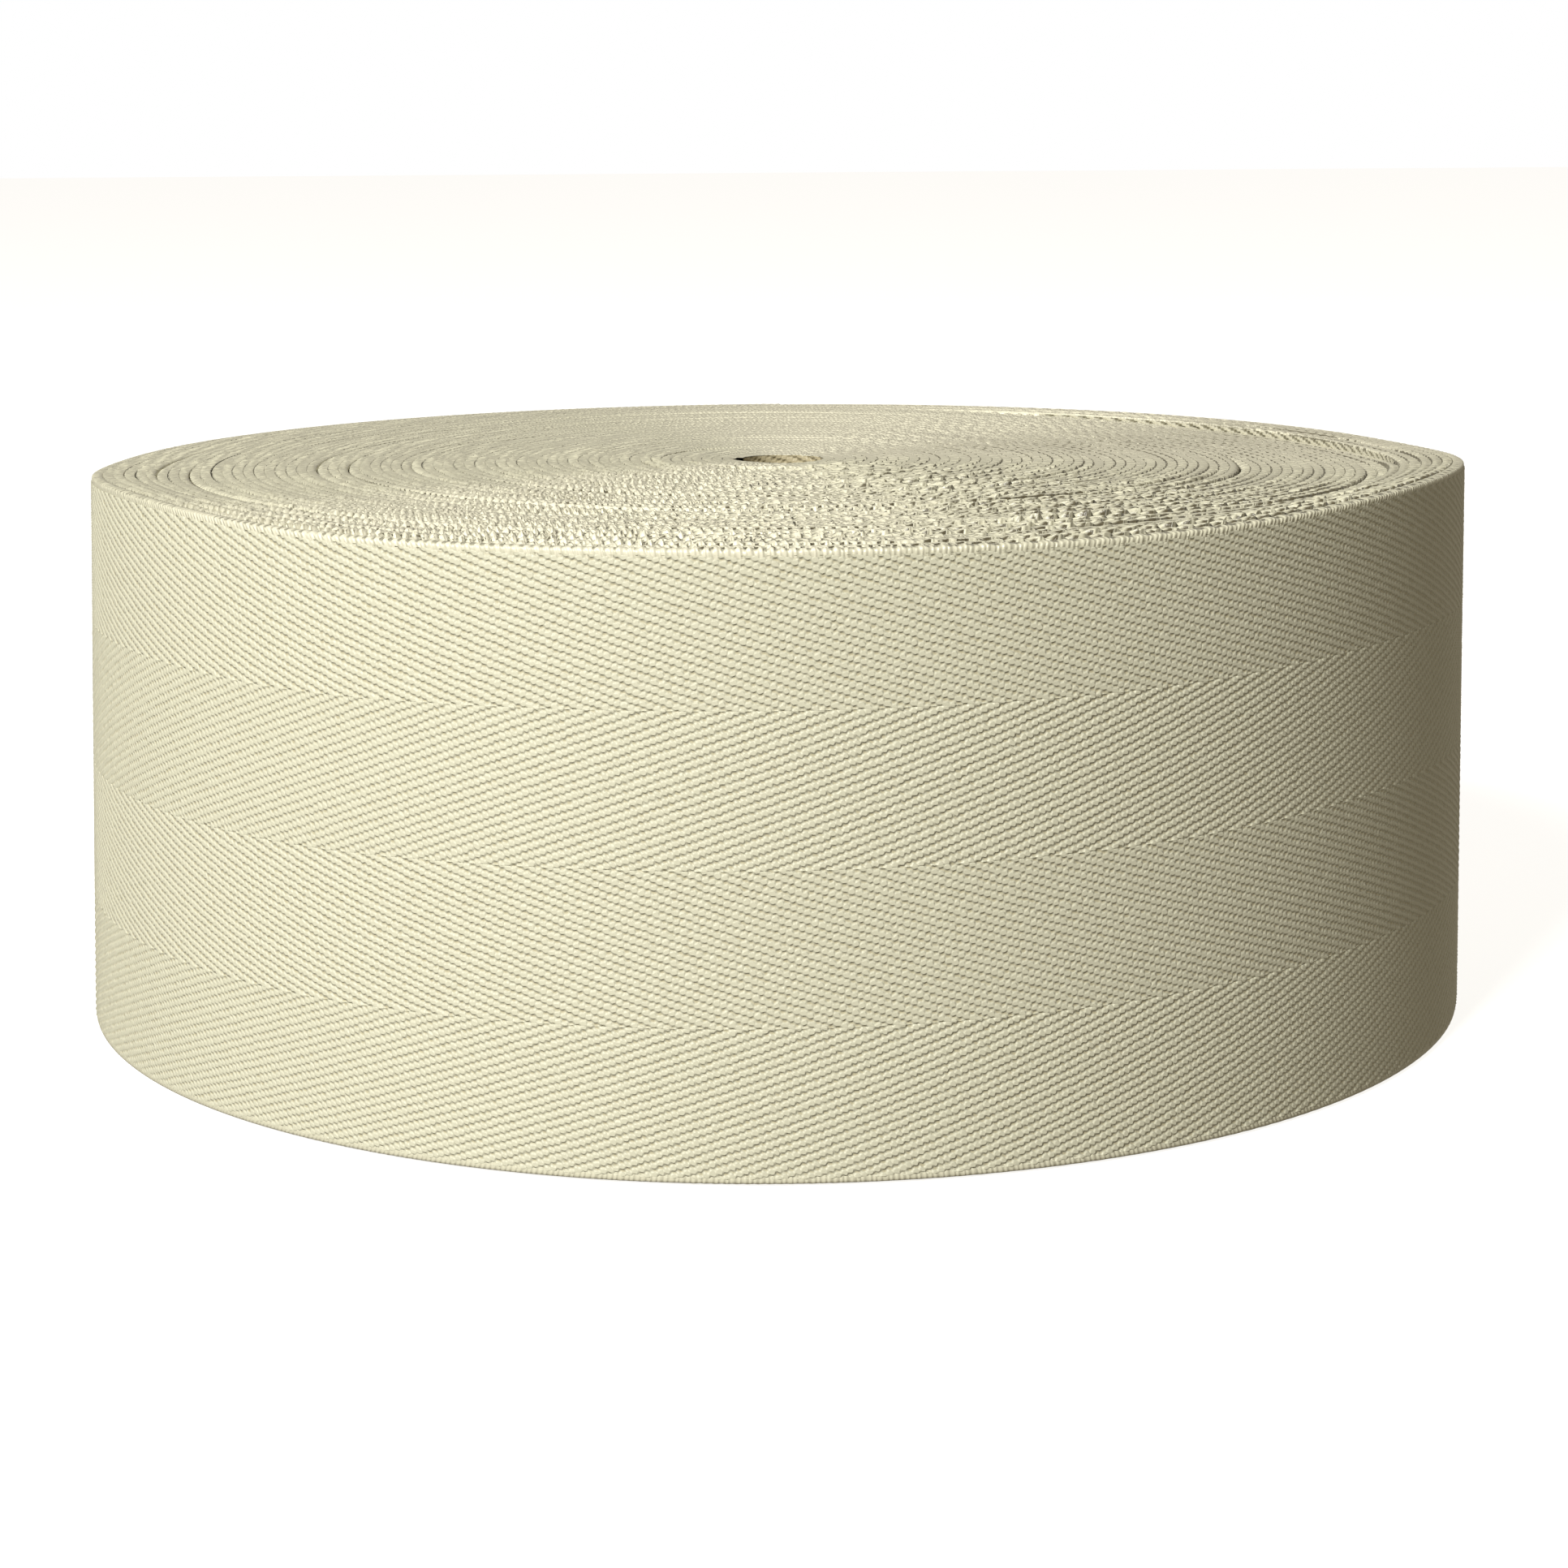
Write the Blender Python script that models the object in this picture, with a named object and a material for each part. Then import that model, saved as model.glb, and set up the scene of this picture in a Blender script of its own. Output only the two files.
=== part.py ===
"""A roll of herringbone twill webbing, wound on itself and lying on one selvedge.

The roll is one continuous length of webbing with no core, so it is one solid of
its wound form: a drum whose outer wall is a spiral that ends in the webbing's cut
end, a small hole up the middle, and an upper face where groups of turns stand a
little higher or lower than their neighbours, with grooves between them.

Metres, +Z up. The origin is at the centre of the foot, on the surface it lies on.
"""

import math
from typing import NamedTuple

import bmesh
import bpy

MILLIMETRE = 0.001

# Driving dimensions of the webbing and of the way it is wound
WEBBING_WIDTH = 0.050
WEBBING_THICKNESS = 0.00097
TURNS = 62
HOLE_RADIUS = 0.0038
ROLL_RADIUS = HOLE_RADIUS + TURNS * WEBBING_THICKNESS

# The cut end lies at the back, and the outer wall spirals in from it
CUT_END_AZIMUTH = math.radians(90.0)
# The wall spreads evenly towards the foot, which lies a little left of the top
FOOT_SPREAD = 0.0015
LEAN_X = 0.0005
# Soft selvedge corners of the outermost turn and of the hole
EDGE_DROP = 0.0004
EDGE_INSET = 0.0004
# The hole lies a little off the middle of the roll
HOLE_OFFSET_X = 0.0003
# Half the width of a groove between two groups of turns, in turns
GROOVE_HALF_TURNS = 0.45

SECTORS = 80
# Heights on the outer wall between its soft corners, as a share of the width
WALL_HEIGHTS = (0.30, 0.68)
# Radii of the foot's inner rings, as a share of the roll's radius
FOOT_RINGS = (0.96, 0.50)
# An edge that turns more sharply than this is left crisp
CRISP_ANGLE = math.radians(40.0)


class TurnGroup(NamedTuple):
    """Neighbouring turns that lie at one level, in millimetres and degrees."""

    last_turn: float  # the group's outermost turn, counted from the hole
    rise: float  # height over the plain upper face, all the way round
    extra: float  # further height at one azimuth, 0 along +X and 90 along +Y
    azimuth: float
    half_arc: float  # the further height fades out this far either side
    groove: float  # depth of the groove at the group's outer side


# From the hole outwards
TURN_GROUPS = (
    TurnGroup(8.5, 0.00, 0.15, 200.0, 90.0, 0.25),
    TurnGroup(17.5, -0.05, 0.20, 150.0, 80.0, 0.40),
    TurnGroup(26.0, 0.05, -0.25, 20.0, 90.0, 0.25),
    TurnGroup(33.0, 0.00, -0.40, 20.0, 95.0, 0.35),
    TurnGroup(37.5, 0.05, -0.50, 25.0, 95.0, 0.40),
    TurnGroup(41.0, -0.10, -0.50, 30.0, 95.0, 0.40),
    TurnGroup(47.5, -0.05, -0.80, 30.0, 95.0, 0.30),
    TurnGroup(52.5, 0.00, -0.95, 30.0, 95.0, 0.35),
    TurnGroup(55.2, -0.15, -0.95, 30.0, 95.0, 0.30),
    TurnGroup(59.6, -0.15, 0.35, 345.0, 70.0, 0.35),
    TurnGroup(62.0, -0.20, 1.15, 330.0, 35.0, 0.00),
)
# The outermost turns also rise at the left of the front
LEFT_RISE = 0.0009
LEFT_RISE_AZIMUTH = math.radians(206.0)
LEFT_RISE_HALF_ARC = math.radians(33.0)

COLOUR = (0.72, 0.70, 0.53, 1.0)


def clear_scene():
    """Remove every object so that the file holds only the roll."""
    for obj in list(bpy.data.objects):
        bpy.data.objects.remove(obj, do_unlink=True)


def turn_radius(turn):
    """Radius at the outer side of a turn, counted from the hole."""
    return HOLE_RADIUS + turn * WEBBING_THICKNESS


def bump(azimuth, middle, half_arc):
    """Smooth hump in azimuth: 1 in the middle and 0 past half_arc either side."""
    away = abs((azimuth - middle + math.pi) % math.tau - math.pi)
    if away >= half_arc:
        return 0.0
    return 0.5 + 0.5 * math.cos(math.pi * away / half_arc)


def group_rise(group, azimuth):
    """Height of a group of turns over the plain upper face, in metres."""
    hump = bump(azimuth, math.radians(group.azimuth), math.radians(group.half_arc))
    return (group.rise + group.extra * hump) * MILLIMETRE


def outer_radius(azimuth):
    """Radius of the outer wall, which falls by one turn on its way round."""
    round_share = ((azimuth - CUT_END_AZIMUTH) % math.tau) / math.tau
    return ROLL_RADIUS - WEBBING_THICKNESS * round_share


def upper_rings(azimuth):
    """Radius and height of the upper face's rings at an azimuth, hole outwards.

    Each group of turns is level between two rings, and a groove, lower than both
    groups beside it, parts it from the next.
    """
    half_groove = GROOVE_HALF_TURNS * WEBBING_THICKNESS
    rings = [(HOLE_RADIUS + EDGE_INSET, 0.0)]
    for group, following in zip(TURN_GROUPS, TURN_GROUPS[1:]):
        rise = group_rise(group, azimuth)
        next_rise = group_rise(following, azimuth)
        groove_radius = turn_radius(group.last_turn)
        groove_floor = min(rise, next_rise) - group.groove * MILLIMETRE
        rings.append((groove_radius - half_groove, rise))
        rings.append((groove_radius, groove_floor))
        rings.append((groove_radius + half_groove, next_rise))
    return rings


def rim_height(azimuth):
    """Height of the outermost turn's upper selvedge over the webbing's width."""
    left = LEFT_RISE * bump(azimuth, LEFT_RISE_AZIMUTH, LEFT_RISE_HALF_ARC)
    return group_rise(TURN_GROUPS[-1], azimuth) + left


def wall_rows(azimuth, radius):
    """Radius and height of the outer wall's rows at an azimuth, foot upwards."""
    rim = WEBBING_WIDTH + rim_height(azimuth)
    rows = [
        (radius + FOOT_SPREAD - EDGE_INSET, 0.0),
        (radius + FOOT_SPREAD, EDGE_DROP),
    ]
    for share in WALL_HEIGHTS:
        rows.append((radius + FOOT_SPREAD * (1.0 - share), share * WEBBING_WIDTH))
    rows.append((radius, rim - EDGE_DROP))
    rows.append((radius - EDGE_INSET, rim))
    return rows


def outline_middle():
    """Middle of the foot's outline, so that the roll can be centred on its box."""
    xs = []
    ys = []
    for sector in range(SECTORS + 1):
        azimuth = CUT_END_AZIMUTH + math.tau * sector / SECTORS
        radius = ROLL_RADIUS - WEBBING_THICKNESS * sector / SECTORS + FOOT_SPREAD
        xs.append(radius * math.cos(azimuth))
        ys.append(radius * math.sin(azimuth))
    return 0.5 * (min(xs) + max(xs)), 0.5 * (min(ys) + max(ys))


class WoundRoll:
    """Mesh of the roll, built one radial section at a time."""

    def __init__(self):
        self.mesh = bmesh.new()
        self.middle_x, self.middle_y = outline_middle()

    def vertex(self, azimuth, radius, height):
        """Add one point; near the hole the turns close in on its own centre."""
        share = 1.0 - radius / (ROLL_RADIUS + FOOT_SPREAD)
        shift = HOLE_OFFSET_X * share + LEAN_X * height / WEBBING_WIDTH
        x = radius * math.cos(azimuth) - self.middle_x + shift
        y = radius * math.sin(azimuth) - self.middle_y
        return self.mesh.verts.new((x, y, height))

    def inner_section(self, azimuth):
        """Points from the foot, down the hole side and out over the upper face."""
        section = [self.vertex(azimuth, share * ROLL_RADIUS, 0.0) for share in FOOT_RINGS]
        section.append(self.vertex(azimuth, HOLE_RADIUS + EDGE_INSET, 0.0))
        section.append(self.vertex(azimuth, HOLE_RADIUS, EDGE_DROP))
        section.append(self.vertex(azimuth, HOLE_RADIUS, WEBBING_WIDTH - EDGE_DROP))
        for radius, height in upper_rings(azimuth):
            section.append(self.vertex(azimuth, radius, WEBBING_WIDTH + height))
        return section

    def wall_section(self, azimuth, radius):
        """Points of the outer wall, foot upwards."""
        return [self.vertex(azimuth, r, z) for r, z in wall_rows(azimuth, radius)]

    def build(self):
        """Join the sections into one closed body and return its bmesh."""
        azimuths = [CUT_END_AZIMUTH + math.tau * k / SECTORS for k in range(SECTORS)]
        inner = [self.inner_section(azimuth) for azimuth in azimuths]
        walls = [self.wall_section(azimuth, outer_radius(azimuth)) for azimuth in azimuths]
        # The wall that the cut end lies on, one thickness further in
        under_end = self.wall_section(CUT_END_AZIMUTH, ROLL_RADIUS - WEBBING_THICKNESS)

        for sector in range(SECTORS):
            following = (sector + 1) % SECTORS
            last = sector == SECTORS - 1
            wall_here = walls[sector]
            wall_next = under_end if last else walls[following]
            self.strip(inner[sector], inner[following])
            self.strip(wall_here, wall_next)
            self.joins(inner[sector], inner[following], wall_here, wall_next,
                       under_end if sector == 0 else None)
        self.cut_end(walls[0], under_end)
        bmesh.ops.recalc_face_normals(self.mesh, faces=self.mesh.faces)
        return self.mesh

    def strip(self, here, following):
        """Quads between two neighbouring sections."""
        for low in range(len(here) - 1):
            self.mesh.faces.new((here[low], here[low + 1], following[low + 1], following[low]))

    def joins(self, here, following, wall_here, wall_next, under_end):
        """Faces that join the wall to the foot and to the upper face.

        Beside the cut end they also take in the corner of the turn below it.
        """
        foot = [following[0], here[0]]
        rim = [here[-1], following[-1]]
        if under_end:
            foot.append(under_end[0])
            rim.insert(0, under_end[-1])
        foot += [wall_here[0], wall_next[0]]
        rim += [wall_next[-1], wall_here[-1]]
        self.mesh.faces.new(foot)
        self.mesh.faces.new(rim)

    def cut_end(self, outer, under):
        """The webbing's own cut end, a strip one thickness deep."""
        for low in range(len(outer) - 1):
            self.mesh.faces.new((outer[low], outer[low + 1], under[low + 1], under[low]))


def webbing_material():
    """Undyed cream webbing, matt."""
    material = bpy.data.materials.new("cream_twill_webbing")
    material.use_nodes = True
    shader = material.node_tree.nodes["Principled BSDF"]
    shader.inputs["Base Color"].default_value = COLOUR
    shader.inputs["Roughness"].default_value = 0.85
    shader.inputs["Metallic"].default_value = 0.0
    return material


def make_roll():
    """Make the roll's object, shaded smooth, with its material."""
    mesh = bpy.data.meshes.new("webbing_roll")
    roll = WoundRoll().build()
    bmesh.ops.triangulate(roll, faces=[face for face in roll.faces if len(face.verts) > 4])
    roll.to_mesh(mesh)
    roll.free()
    mesh.shade_smooth()
    mesh.set_sharp_from_angle(angle=CRISP_ANGLE)
    mesh.materials.append(webbing_material())
    roll_object = bpy.data.objects.new("webbing_roll", mesh)
    bpy.context.scene.collection.objects.link(roll_object)
    return roll_object


clear_scene()
make_roll()
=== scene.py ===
"""A roll of cream herringbone twill webbing, dressed for a studio picture.

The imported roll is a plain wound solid. This script replaces it with the webbing
itself: the twill of the outermost turn, the selvedges of all the turns above and
below, the lining of the winding hole and the cut end. Lengths are in metres.
"""

import logging
import math
from dataclasses import dataclass, field
from enum import Enum
from typing import Any, Sequence

import bpy
import numpy as np
from mathutils import Matrix


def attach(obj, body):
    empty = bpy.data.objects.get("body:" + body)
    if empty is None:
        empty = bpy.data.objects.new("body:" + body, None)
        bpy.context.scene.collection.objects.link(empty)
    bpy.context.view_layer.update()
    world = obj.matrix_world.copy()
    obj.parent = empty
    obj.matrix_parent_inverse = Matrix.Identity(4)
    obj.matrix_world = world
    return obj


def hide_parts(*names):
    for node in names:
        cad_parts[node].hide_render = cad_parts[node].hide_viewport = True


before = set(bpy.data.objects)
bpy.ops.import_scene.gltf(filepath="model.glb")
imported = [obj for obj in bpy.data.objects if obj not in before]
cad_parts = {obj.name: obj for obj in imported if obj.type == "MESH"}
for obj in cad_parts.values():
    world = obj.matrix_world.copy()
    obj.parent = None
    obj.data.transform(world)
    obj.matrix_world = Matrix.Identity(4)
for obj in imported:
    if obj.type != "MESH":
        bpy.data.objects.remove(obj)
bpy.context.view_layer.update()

MM = 0.001
TAU = math.tau
BODY = "root"
NODE = "webbing_roll"
WEAVE_MAP = "weave"
# Keeps a division by a length from failing where the length is nothing
SMALLEST = 1e-24

Tree = bpy.types.NodeTree
Socket = bpy.types.NodeSocket

log = logging.getLogger("webbing_roll")


def linear(hex_colour: str) -> tuple[float, float, float, float]:
    """Turn an sRGB hex colour into linear light.

    Args:
        hex_colour: The colour as "#RRGGBB".

    Returns:
        Red, green, blue and an alpha of 1.
    """
    parts = [int(hex_colour[i:i + 2], 16) / 255.0 for i in (1, 3, 5)]
    light = [c / 12.92 if c <= 0.04045 else ((c + 0.055) / 1.055) ** 2.4 for c in parts]
    return (light[0], light[1], light[2], 1.0)


def smooth(share: np.ndarray) -> np.ndarray:
    """Ease from 0 to 1 as the share goes from 0 to 1, flat outside."""
    held = np.clip(share, 0.0, 1.0)
    return held * held * (3.0 - 2.0 * held)


@dataclass(frozen=True)
class Hump:
    """A smooth hump round the roll, with its middle and half its arc in degrees."""

    size: float
    middle: float
    half_arc: float

    def at(self, azimuth: np.ndarray) -> np.ndarray:
        """Height of the hump.

        Args:
            azimuth: Places round the roll, in degrees.

        Returns:
            The height at each place, from 0 to the hump's size.
        """
        away = np.abs((azimuth - self.middle + 180.0) % 360.0 - 180.0)
        inside = 0.5 + 0.5 * np.cos(np.pi * away / self.half_arc)
        return self.size * np.where(away < self.half_arc, inside, 0.0)


@dataclass(frozen=True)
class Wander:
    """A seeded, smoothly wandering value, for what isn't even in a real roll."""

    seed: int
    step: float
    size: float

    def at(self, place: np.ndarray) -> np.ndarray:
        """Value of the wandering line.

        Args:
            place: Places along the line, from 0 up, in the unit of step.

        Returns:
            A value for each place, about as large as size.
        """
        knots = np.maximum(place, 0.0) / self.step
        count = int(knots.max()) + 2 if knots.size else 2
        values = np.random.default_rng(self.seed).normal(0.0, self.size, count + 1)
        first = np.floor(knots).astype(int)
        share = smooth(knots - first)
        return values[first] * (1.0 - share) + values[first + 1] * share


@dataclass(frozen=True)
class TurnGroup:
    """Neighbouring turns that lie at one level, in millimetres and degrees."""

    last_turn: float
    rise: float
    extra: float
    azimuth: float
    half_arc: float
    groove: float

    def level(self, azimuth: np.ndarray) -> np.ndarray:
        """Height over the plain upper face at places round the roll, in metres."""
        hump = Hump(self.extra, self.azimuth, self.half_arc)
        return (self.rise + hump.at(azimuth)) * MM


@dataclass(frozen=True)
class SlackGap:
    """A place where one turn stands off the next, in turns and millimetres."""

    turn: float
    half_length: float
    depth: float

    def at(self, winding: np.ndarray) -> np.ndarray:
        """Depth of the gap below the turn's inner corner, in metres."""
        away = np.abs(winding - self.turn) / self.half_length
        return self.depth * MM * np.where(away < 1.0, 0.5 + 0.5 * np.cos(np.pi * away), 0.0)


@dataclass(frozen=True)
class WoundForm:
    """The way the webbing is wound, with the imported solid's own sizes.

    The winding number counts turns along the webbing from its inner end outwards.
    """

    width: float = 0.050
    roll_radius: float = 0.06394
    hole_radius: float = 0.0038
    thickness: float = 0.00097
    foot_spread: float = 0.0015
    lean: float = 0.0005
    hole_offset: float = 0.0003
    outer_end: float = 90.0
    inner_end: float = 172.0
    whole_turns: int = 61
    # The outermost turns rise at the left, at the right and a little all over the front
    rises: tuple[Hump, ...] = (
        Hump(0.90 * MM, 206.0, 33.0),
        Hump(1.30 * MM, 335.0, 44.0),
        Hump(0.25 * MM, 250.0, 150.0),
    )
    shared_turns: float = 9.0
    shared_over: float = 8.0
    climb: float = 0.06
    seam: float = 55.488
    # The ridges are pressed flat across this line and round along it
    round_azimuth: float = 75.0
    pressed_least: float = 0.25
    groove_edge: float = 0.06
    # The innermost turns climb over the inner end in the last part of each turn
    round_turns: float = 4.0
    climb_from: float = 0.78
    # Each turn's own unevenness, most at the front and less in the outermost turn
    quick_waver: Wander = Wander(11, 0.23, 0.05 * MM)
    slow_waver: Wander = Wander(12, 1.0, 0.03 * MM)
    waver_least: float = 0.35
    waver_more: Hump = Hump(1.15, 270.0, 95.0)
    quiet_turns: float = 1.5
    quiet_least: float = 0.3
    groups: tuple[TurnGroup, ...] = (
        TurnGroup(7.469, 0.00, 0.05, 200.0, 90.0, 0.08),
        TurnGroup(16.619, -0.05, 0.20, 150.0, 80.0, 0.12),
        TurnGroup(25.319, 0.05, -0.25, 20.0, 90.0, 0.15),
        TurnGroup(32.219, 0.00, -0.40, 20.0, 95.0, 0.15),
        TurnGroup(36.919, 0.05, -0.50, 25.0, 95.0, 0.20),
        TurnGroup(40.419, -0.10, -0.50, 20.0, 85.0, 0.20),
        TurnGroup(46.819, -0.05, -0.80, 20.0, 85.0, 0.15),
        TurnGroup(51.919, 0.00, -0.95, 20.0, 85.0, 0.20),
        TurnGroup(54.488, -0.15, -0.95, 20.0, 85.0, 0.04),
        TurnGroup(57.10, -0.30, -0.15, 30.0, 95.0, 0.05),
        TurnGroup(59.119, -0.37, 0.00, 0.0, 10.0, 0.05),
        TurnGroup(70.0, -0.43, 0.00, 0.0, 10.0, 0.00),
    )
    gaps: tuple[SlackGap, ...] = (
        SlackGap(1.0, 0.04, 0.6),
        SlackGap(16.049, 0.05, 0.6),
        SlackGap(31.959, 0.07, 0.4),
        SlackGap(37.959, 0.06, 0.4),
        SlackGap(40.979, 0.06, 0.4),
        SlackGap(34.619, 0.07, 0.5),
        SlackGap(36.579, 0.07, 0.5),
        SlackGap(38.549, 0.07, 0.5),
        SlackGap(40.489, 0.05, 0.5),
        SlackGap(52.919, 0.06, 0.6),
        SlackGap(55.979, 0.07, 0.6),
        SlackGap(55.488, 0.02, 0.5),
        SlackGap(60.491, 0.02, 0.25),
    )

    @property
    def winding_end(self) -> float:
        """Winding number at the outer end."""
        return self.whole_turns + (self.inner_end - self.outer_end) / 360.0

    @property
    def pitch(self) -> float:
        """Thickness that one turn takes up."""
        return (self.roll_radius - self.hole_radius) / (self.winding_end + 1.0)

    def azimuth(self, winding: np.ndarray) -> np.ndarray:
        """Azimuth in degrees of places along the winding, 0 along +X, 90 along +Y."""
        return self.inner_end - 360.0 * winding

    def inner_face(self, winding: np.ndarray) -> np.ndarray:
        """Radius of the webbing's inner face.

        The innermost turns go round the webbing's own inner end, so they keep their
        radius for most of a turn and then climb over it.

        Args:
            winding: Winding numbers.

        Returns:
            The radius at each, in metres.
        """
        turn = np.floor(winding)
        share = winding - turn
        round_part = np.exp(-np.maximum(turn, 0.0) / self.round_turns)
        climbing = smooth((share - self.climb_from) / (1.0 - self.climb_from))
        return self.hole_radius + self.pitch * (
            turn + round_part * climbing + (1.0 - round_part) * share)

    def length_along(self, winding: np.ndarray) -> np.ndarray:
        """Length of webbing from the inner end to places along the winding."""
        middle = self.hole_radius + 0.5 * self.pitch
        return TAU * (middle * winding + 0.5 * self.pitch * winding ** 2)

    def winding_at(self, length: np.ndarray) -> np.ndarray:
        """Winding number at lengths of webbing from the inner end.

        Args:
            length: Lengths in metres; one under 0 counts as 0.

        Returns:
            The winding number at each.
        """
        middle = self.hole_radius + 0.5 * self.pitch
        root = np.sqrt(middle ** 2 + 2.0 * self.pitch * np.maximum(length, 0.0) / TAU)
        return (root - middle) / self.pitch

    def middle(self) -> tuple[float, float]:
        """Middle of the foot's outline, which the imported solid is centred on.

        Returns:
            Its x and y, from the winding's own middle.
        """
        share = np.linspace(0.0, 1.0, 81)
        angle = np.radians(self.outer_end) + TAU * share
        radius = self.roll_radius - self.thickness * share + self.foot_spread
        x, y = radius * np.cos(angle), radius * np.sin(angle)
        return 0.5 * (x.min() + x.max()), 0.5 * (y.min() + y.max())

    def wall_winding(self, azimuth: np.ndarray) -> np.ndarray:
        """Winding number of the outermost turn, from 0 to 360 degrees past the end."""
        return self.winding_end - (azimuth - self.outer_end) / 360.0

    def spread(self, radius: np.ndarray, height: np.ndarray) -> np.ndarray:
        """Radius once the turns have settled outwards towards the foot."""
        share = np.clip(1.0 - height / self.width, 0.0, 1.0)
        return radius * (1.0 + self.foot_spread / self.roll_radius * share)

    def place(self, radius: np.ndarray, azimuth: np.ndarray, height: np.ndarray) -> np.ndarray:
        """Points of the roll in the frame's own axes.

        Args:
            radius: Distances from the winding's middle.
            azimuth: Azimuths in degrees.
            height: Heights over the foot.

        Returns:
            An array of points, with x, y and z last.
        """
        middle_x, middle_y = self.middle()
        angle = np.radians(azimuth)
        inward = 1.0 - radius / (self.roll_radius + self.foot_spread)
        x = radius * np.cos(angle) - middle_x + self.hole_offset * inward
        x = x + self.lean * height / self.width
        y = radius * np.sin(angle) - middle_y
        return np.stack(np.broadcast_arrays(x, y, height), axis=-1)

    def level(self, winding: np.ndarray) -> np.ndarray:
        """Height of the webbing's upper selvedge above its width.

        Args:
            winding: Winding numbers.

        Returns:
            The rise at each, in metres, with the groups of turns and the turns' own
            unevenness.
        """
        azimuth = self.azimuth(winding)
        rise = self.groups[0].level(azimuth)
        for below, above in zip(self.groups, self.groups[1:]):
            share = smooth((winding - below.last_turn) / self.climb + 0.5)
            rise = rise + (above.level(azimuth) - below.level(azimuth)) * share
        from_shared = winding - self.winding_end + self.shared_turns
        outermost = np.clip(from_shared / self.shared_over, 0.0, 1.0)
        rise = rise + sum(hump.at(azimuth) for hump in self.rises) * outermost
        inside = smooth((self.winding_end - winding) / self.quiet_turns)
        quiet = self.quiet_least + (1.0 - self.quiet_least) * inside
        uneven = self.quick_waver.at(winding) + self.slow_waver.at(winding)
        return rise + uneven * (self.waver_least + self.waver_more.at(azimuth)) * quiet

    def groove(self, winding: np.ndarray) -> np.ndarray:
        """Depth of the groove at the webbing's inner corner, past the plain one.

        Args:
            winding: Winding numbers.

        Returns:
            The depth at each, in metres.
        """
        depth = np.zeros_like(winding)
        turned = np.radians(self.azimuth(winding) - self.round_azimuth)
        pressed = self.pressed_least + (1.0 - self.pressed_least) * np.cos(turned) ** 2
        for group in self.groups[:-1]:
            away = np.abs(winding - group.last_turn - 0.5)
            shown = smooth((0.5 - away) / self.groove_edge)
            depth = depth + group.groove * MM * pressed * shown
        for gap in self.gaps:
            depth = depth + gap.at(winding)
        return depth


@dataclass
class MeshParts:
    """Points, faces and map of one piece while it is built."""

    points: list[np.ndarray] = field(default_factory=list)
    maps: list[np.ndarray] = field(default_factory=list)
    quads: list[np.ndarray] = field(default_factory=list)
    count: int = 0

    def add(self, points: np.ndarray, mapped: np.ndarray, quads: np.ndarray) -> None:
        """Add points, their places in the weave map, and faces of four corners.

        Args:
            points: Points, one row each.
            mapped: Weave map coordinates, one row each.
            quads: Corner numbers; a corner given twice makes a triangle.
        """
        self.points.append(points.reshape(-1, 3))
        self.maps.append(mapped.reshape(-1, 2))
        self.quads.append(quads.reshape(-1, 4) + self.count)
        self.count += len(self.points[-1])

    def add_grid(self, points: np.ndarray, mapped: np.ndarray) -> None:
        """Add a grid of points, joined into quads that face right of up.

        Args:
            points: Rows of points along the piece, with x, y and z last.
            mapped: Weave map coordinates, in the same rows.
        """
        rows, columns = points.shape[:2]
        numbers = np.arange(rows * columns).reshape(rows, columns)
        quads = np.stack([numbers[:-1, :-1], numbers[1:, :-1], numbers[1:, 1:],
                          numbers[:-1, 1:]], axis=-1)
        self.add(points, mapped, quads)

    def broad_normals(self, points: np.ndarray, quads: np.ndarray) -> np.ndarray:
        """Normals led by the broad faces, which keep flat crowns flat beside steps.

        Args:
            points: All the points of the piece.
            quads: Its faces of four corners.

        Returns:
            A normal for each point.
        """
        corners = points[quads]
        crossed = np.cross(corners[:, 2] - corners[:, 0], corners[:, 3] - corners[:, 1])
        crossed = crossed * np.linalg.norm(crossed, axis=1, keepdims=True)
        normals = np.zeros_like(points)
        for corner in range(4):
            np.add.at(normals, quads[:, corner], crossed)
        lengths = np.linalg.norm(normals, axis=1, keepdims=True)
        return normals / np.maximum(lengths, SMALLEST)

    def build(self, name: str, broad: bool = False) -> bpy.types.Object:
        """Make the piece's object, shaded smooth.

        Args:
            name: Name of the object and its mesh.
            broad: Whether its normals are led by the broad faces.

        Returns:
            The new object, linked to the scene.
        """
        points = np.concatenate(self.points)
        mapped = np.concatenate(self.maps)
        quads = np.concatenate(self.quads)
        after = np.roll(quads, -1, axis=1)
        keep = quads != after
        sizes = keep.sum(axis=1)
        whole = sizes >= 3
        corners = quads[whole][keep[whole]]
        sizes = sizes[whole]
        starts = np.concatenate([[0], np.cumsum(sizes)[:-1]])

        mesh = bpy.data.meshes.new(name)
        mesh.vertices.add(len(points))
        mesh.vertices.foreach_set("co", points.astype(np.float32).ravel())
        mesh.loops.add(len(corners))
        mesh.polygons.add(len(sizes))
        mesh.polygons.foreach_set("loop_start", starts.astype(np.int32))
        mesh.polygons.foreach_set("vertices", corners.astype(np.int32))
        layer = mesh.uv_layers.new(name=WEAVE_MAP)
        layer.data.foreach_set("uv", mapped[corners].astype(np.float32).ravel())
        mesh.update(calc_edges=True)
        mesh.validate()
        mesh.shade_smooth()
        if broad:
            mesh.normals_split_custom_set_from_vertices(self.broad_normals(points, quads))
        piece = bpy.data.objects.new(name, mesh)
        bpy.context.scene.collection.objects.link(piece)
        return piece


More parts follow.
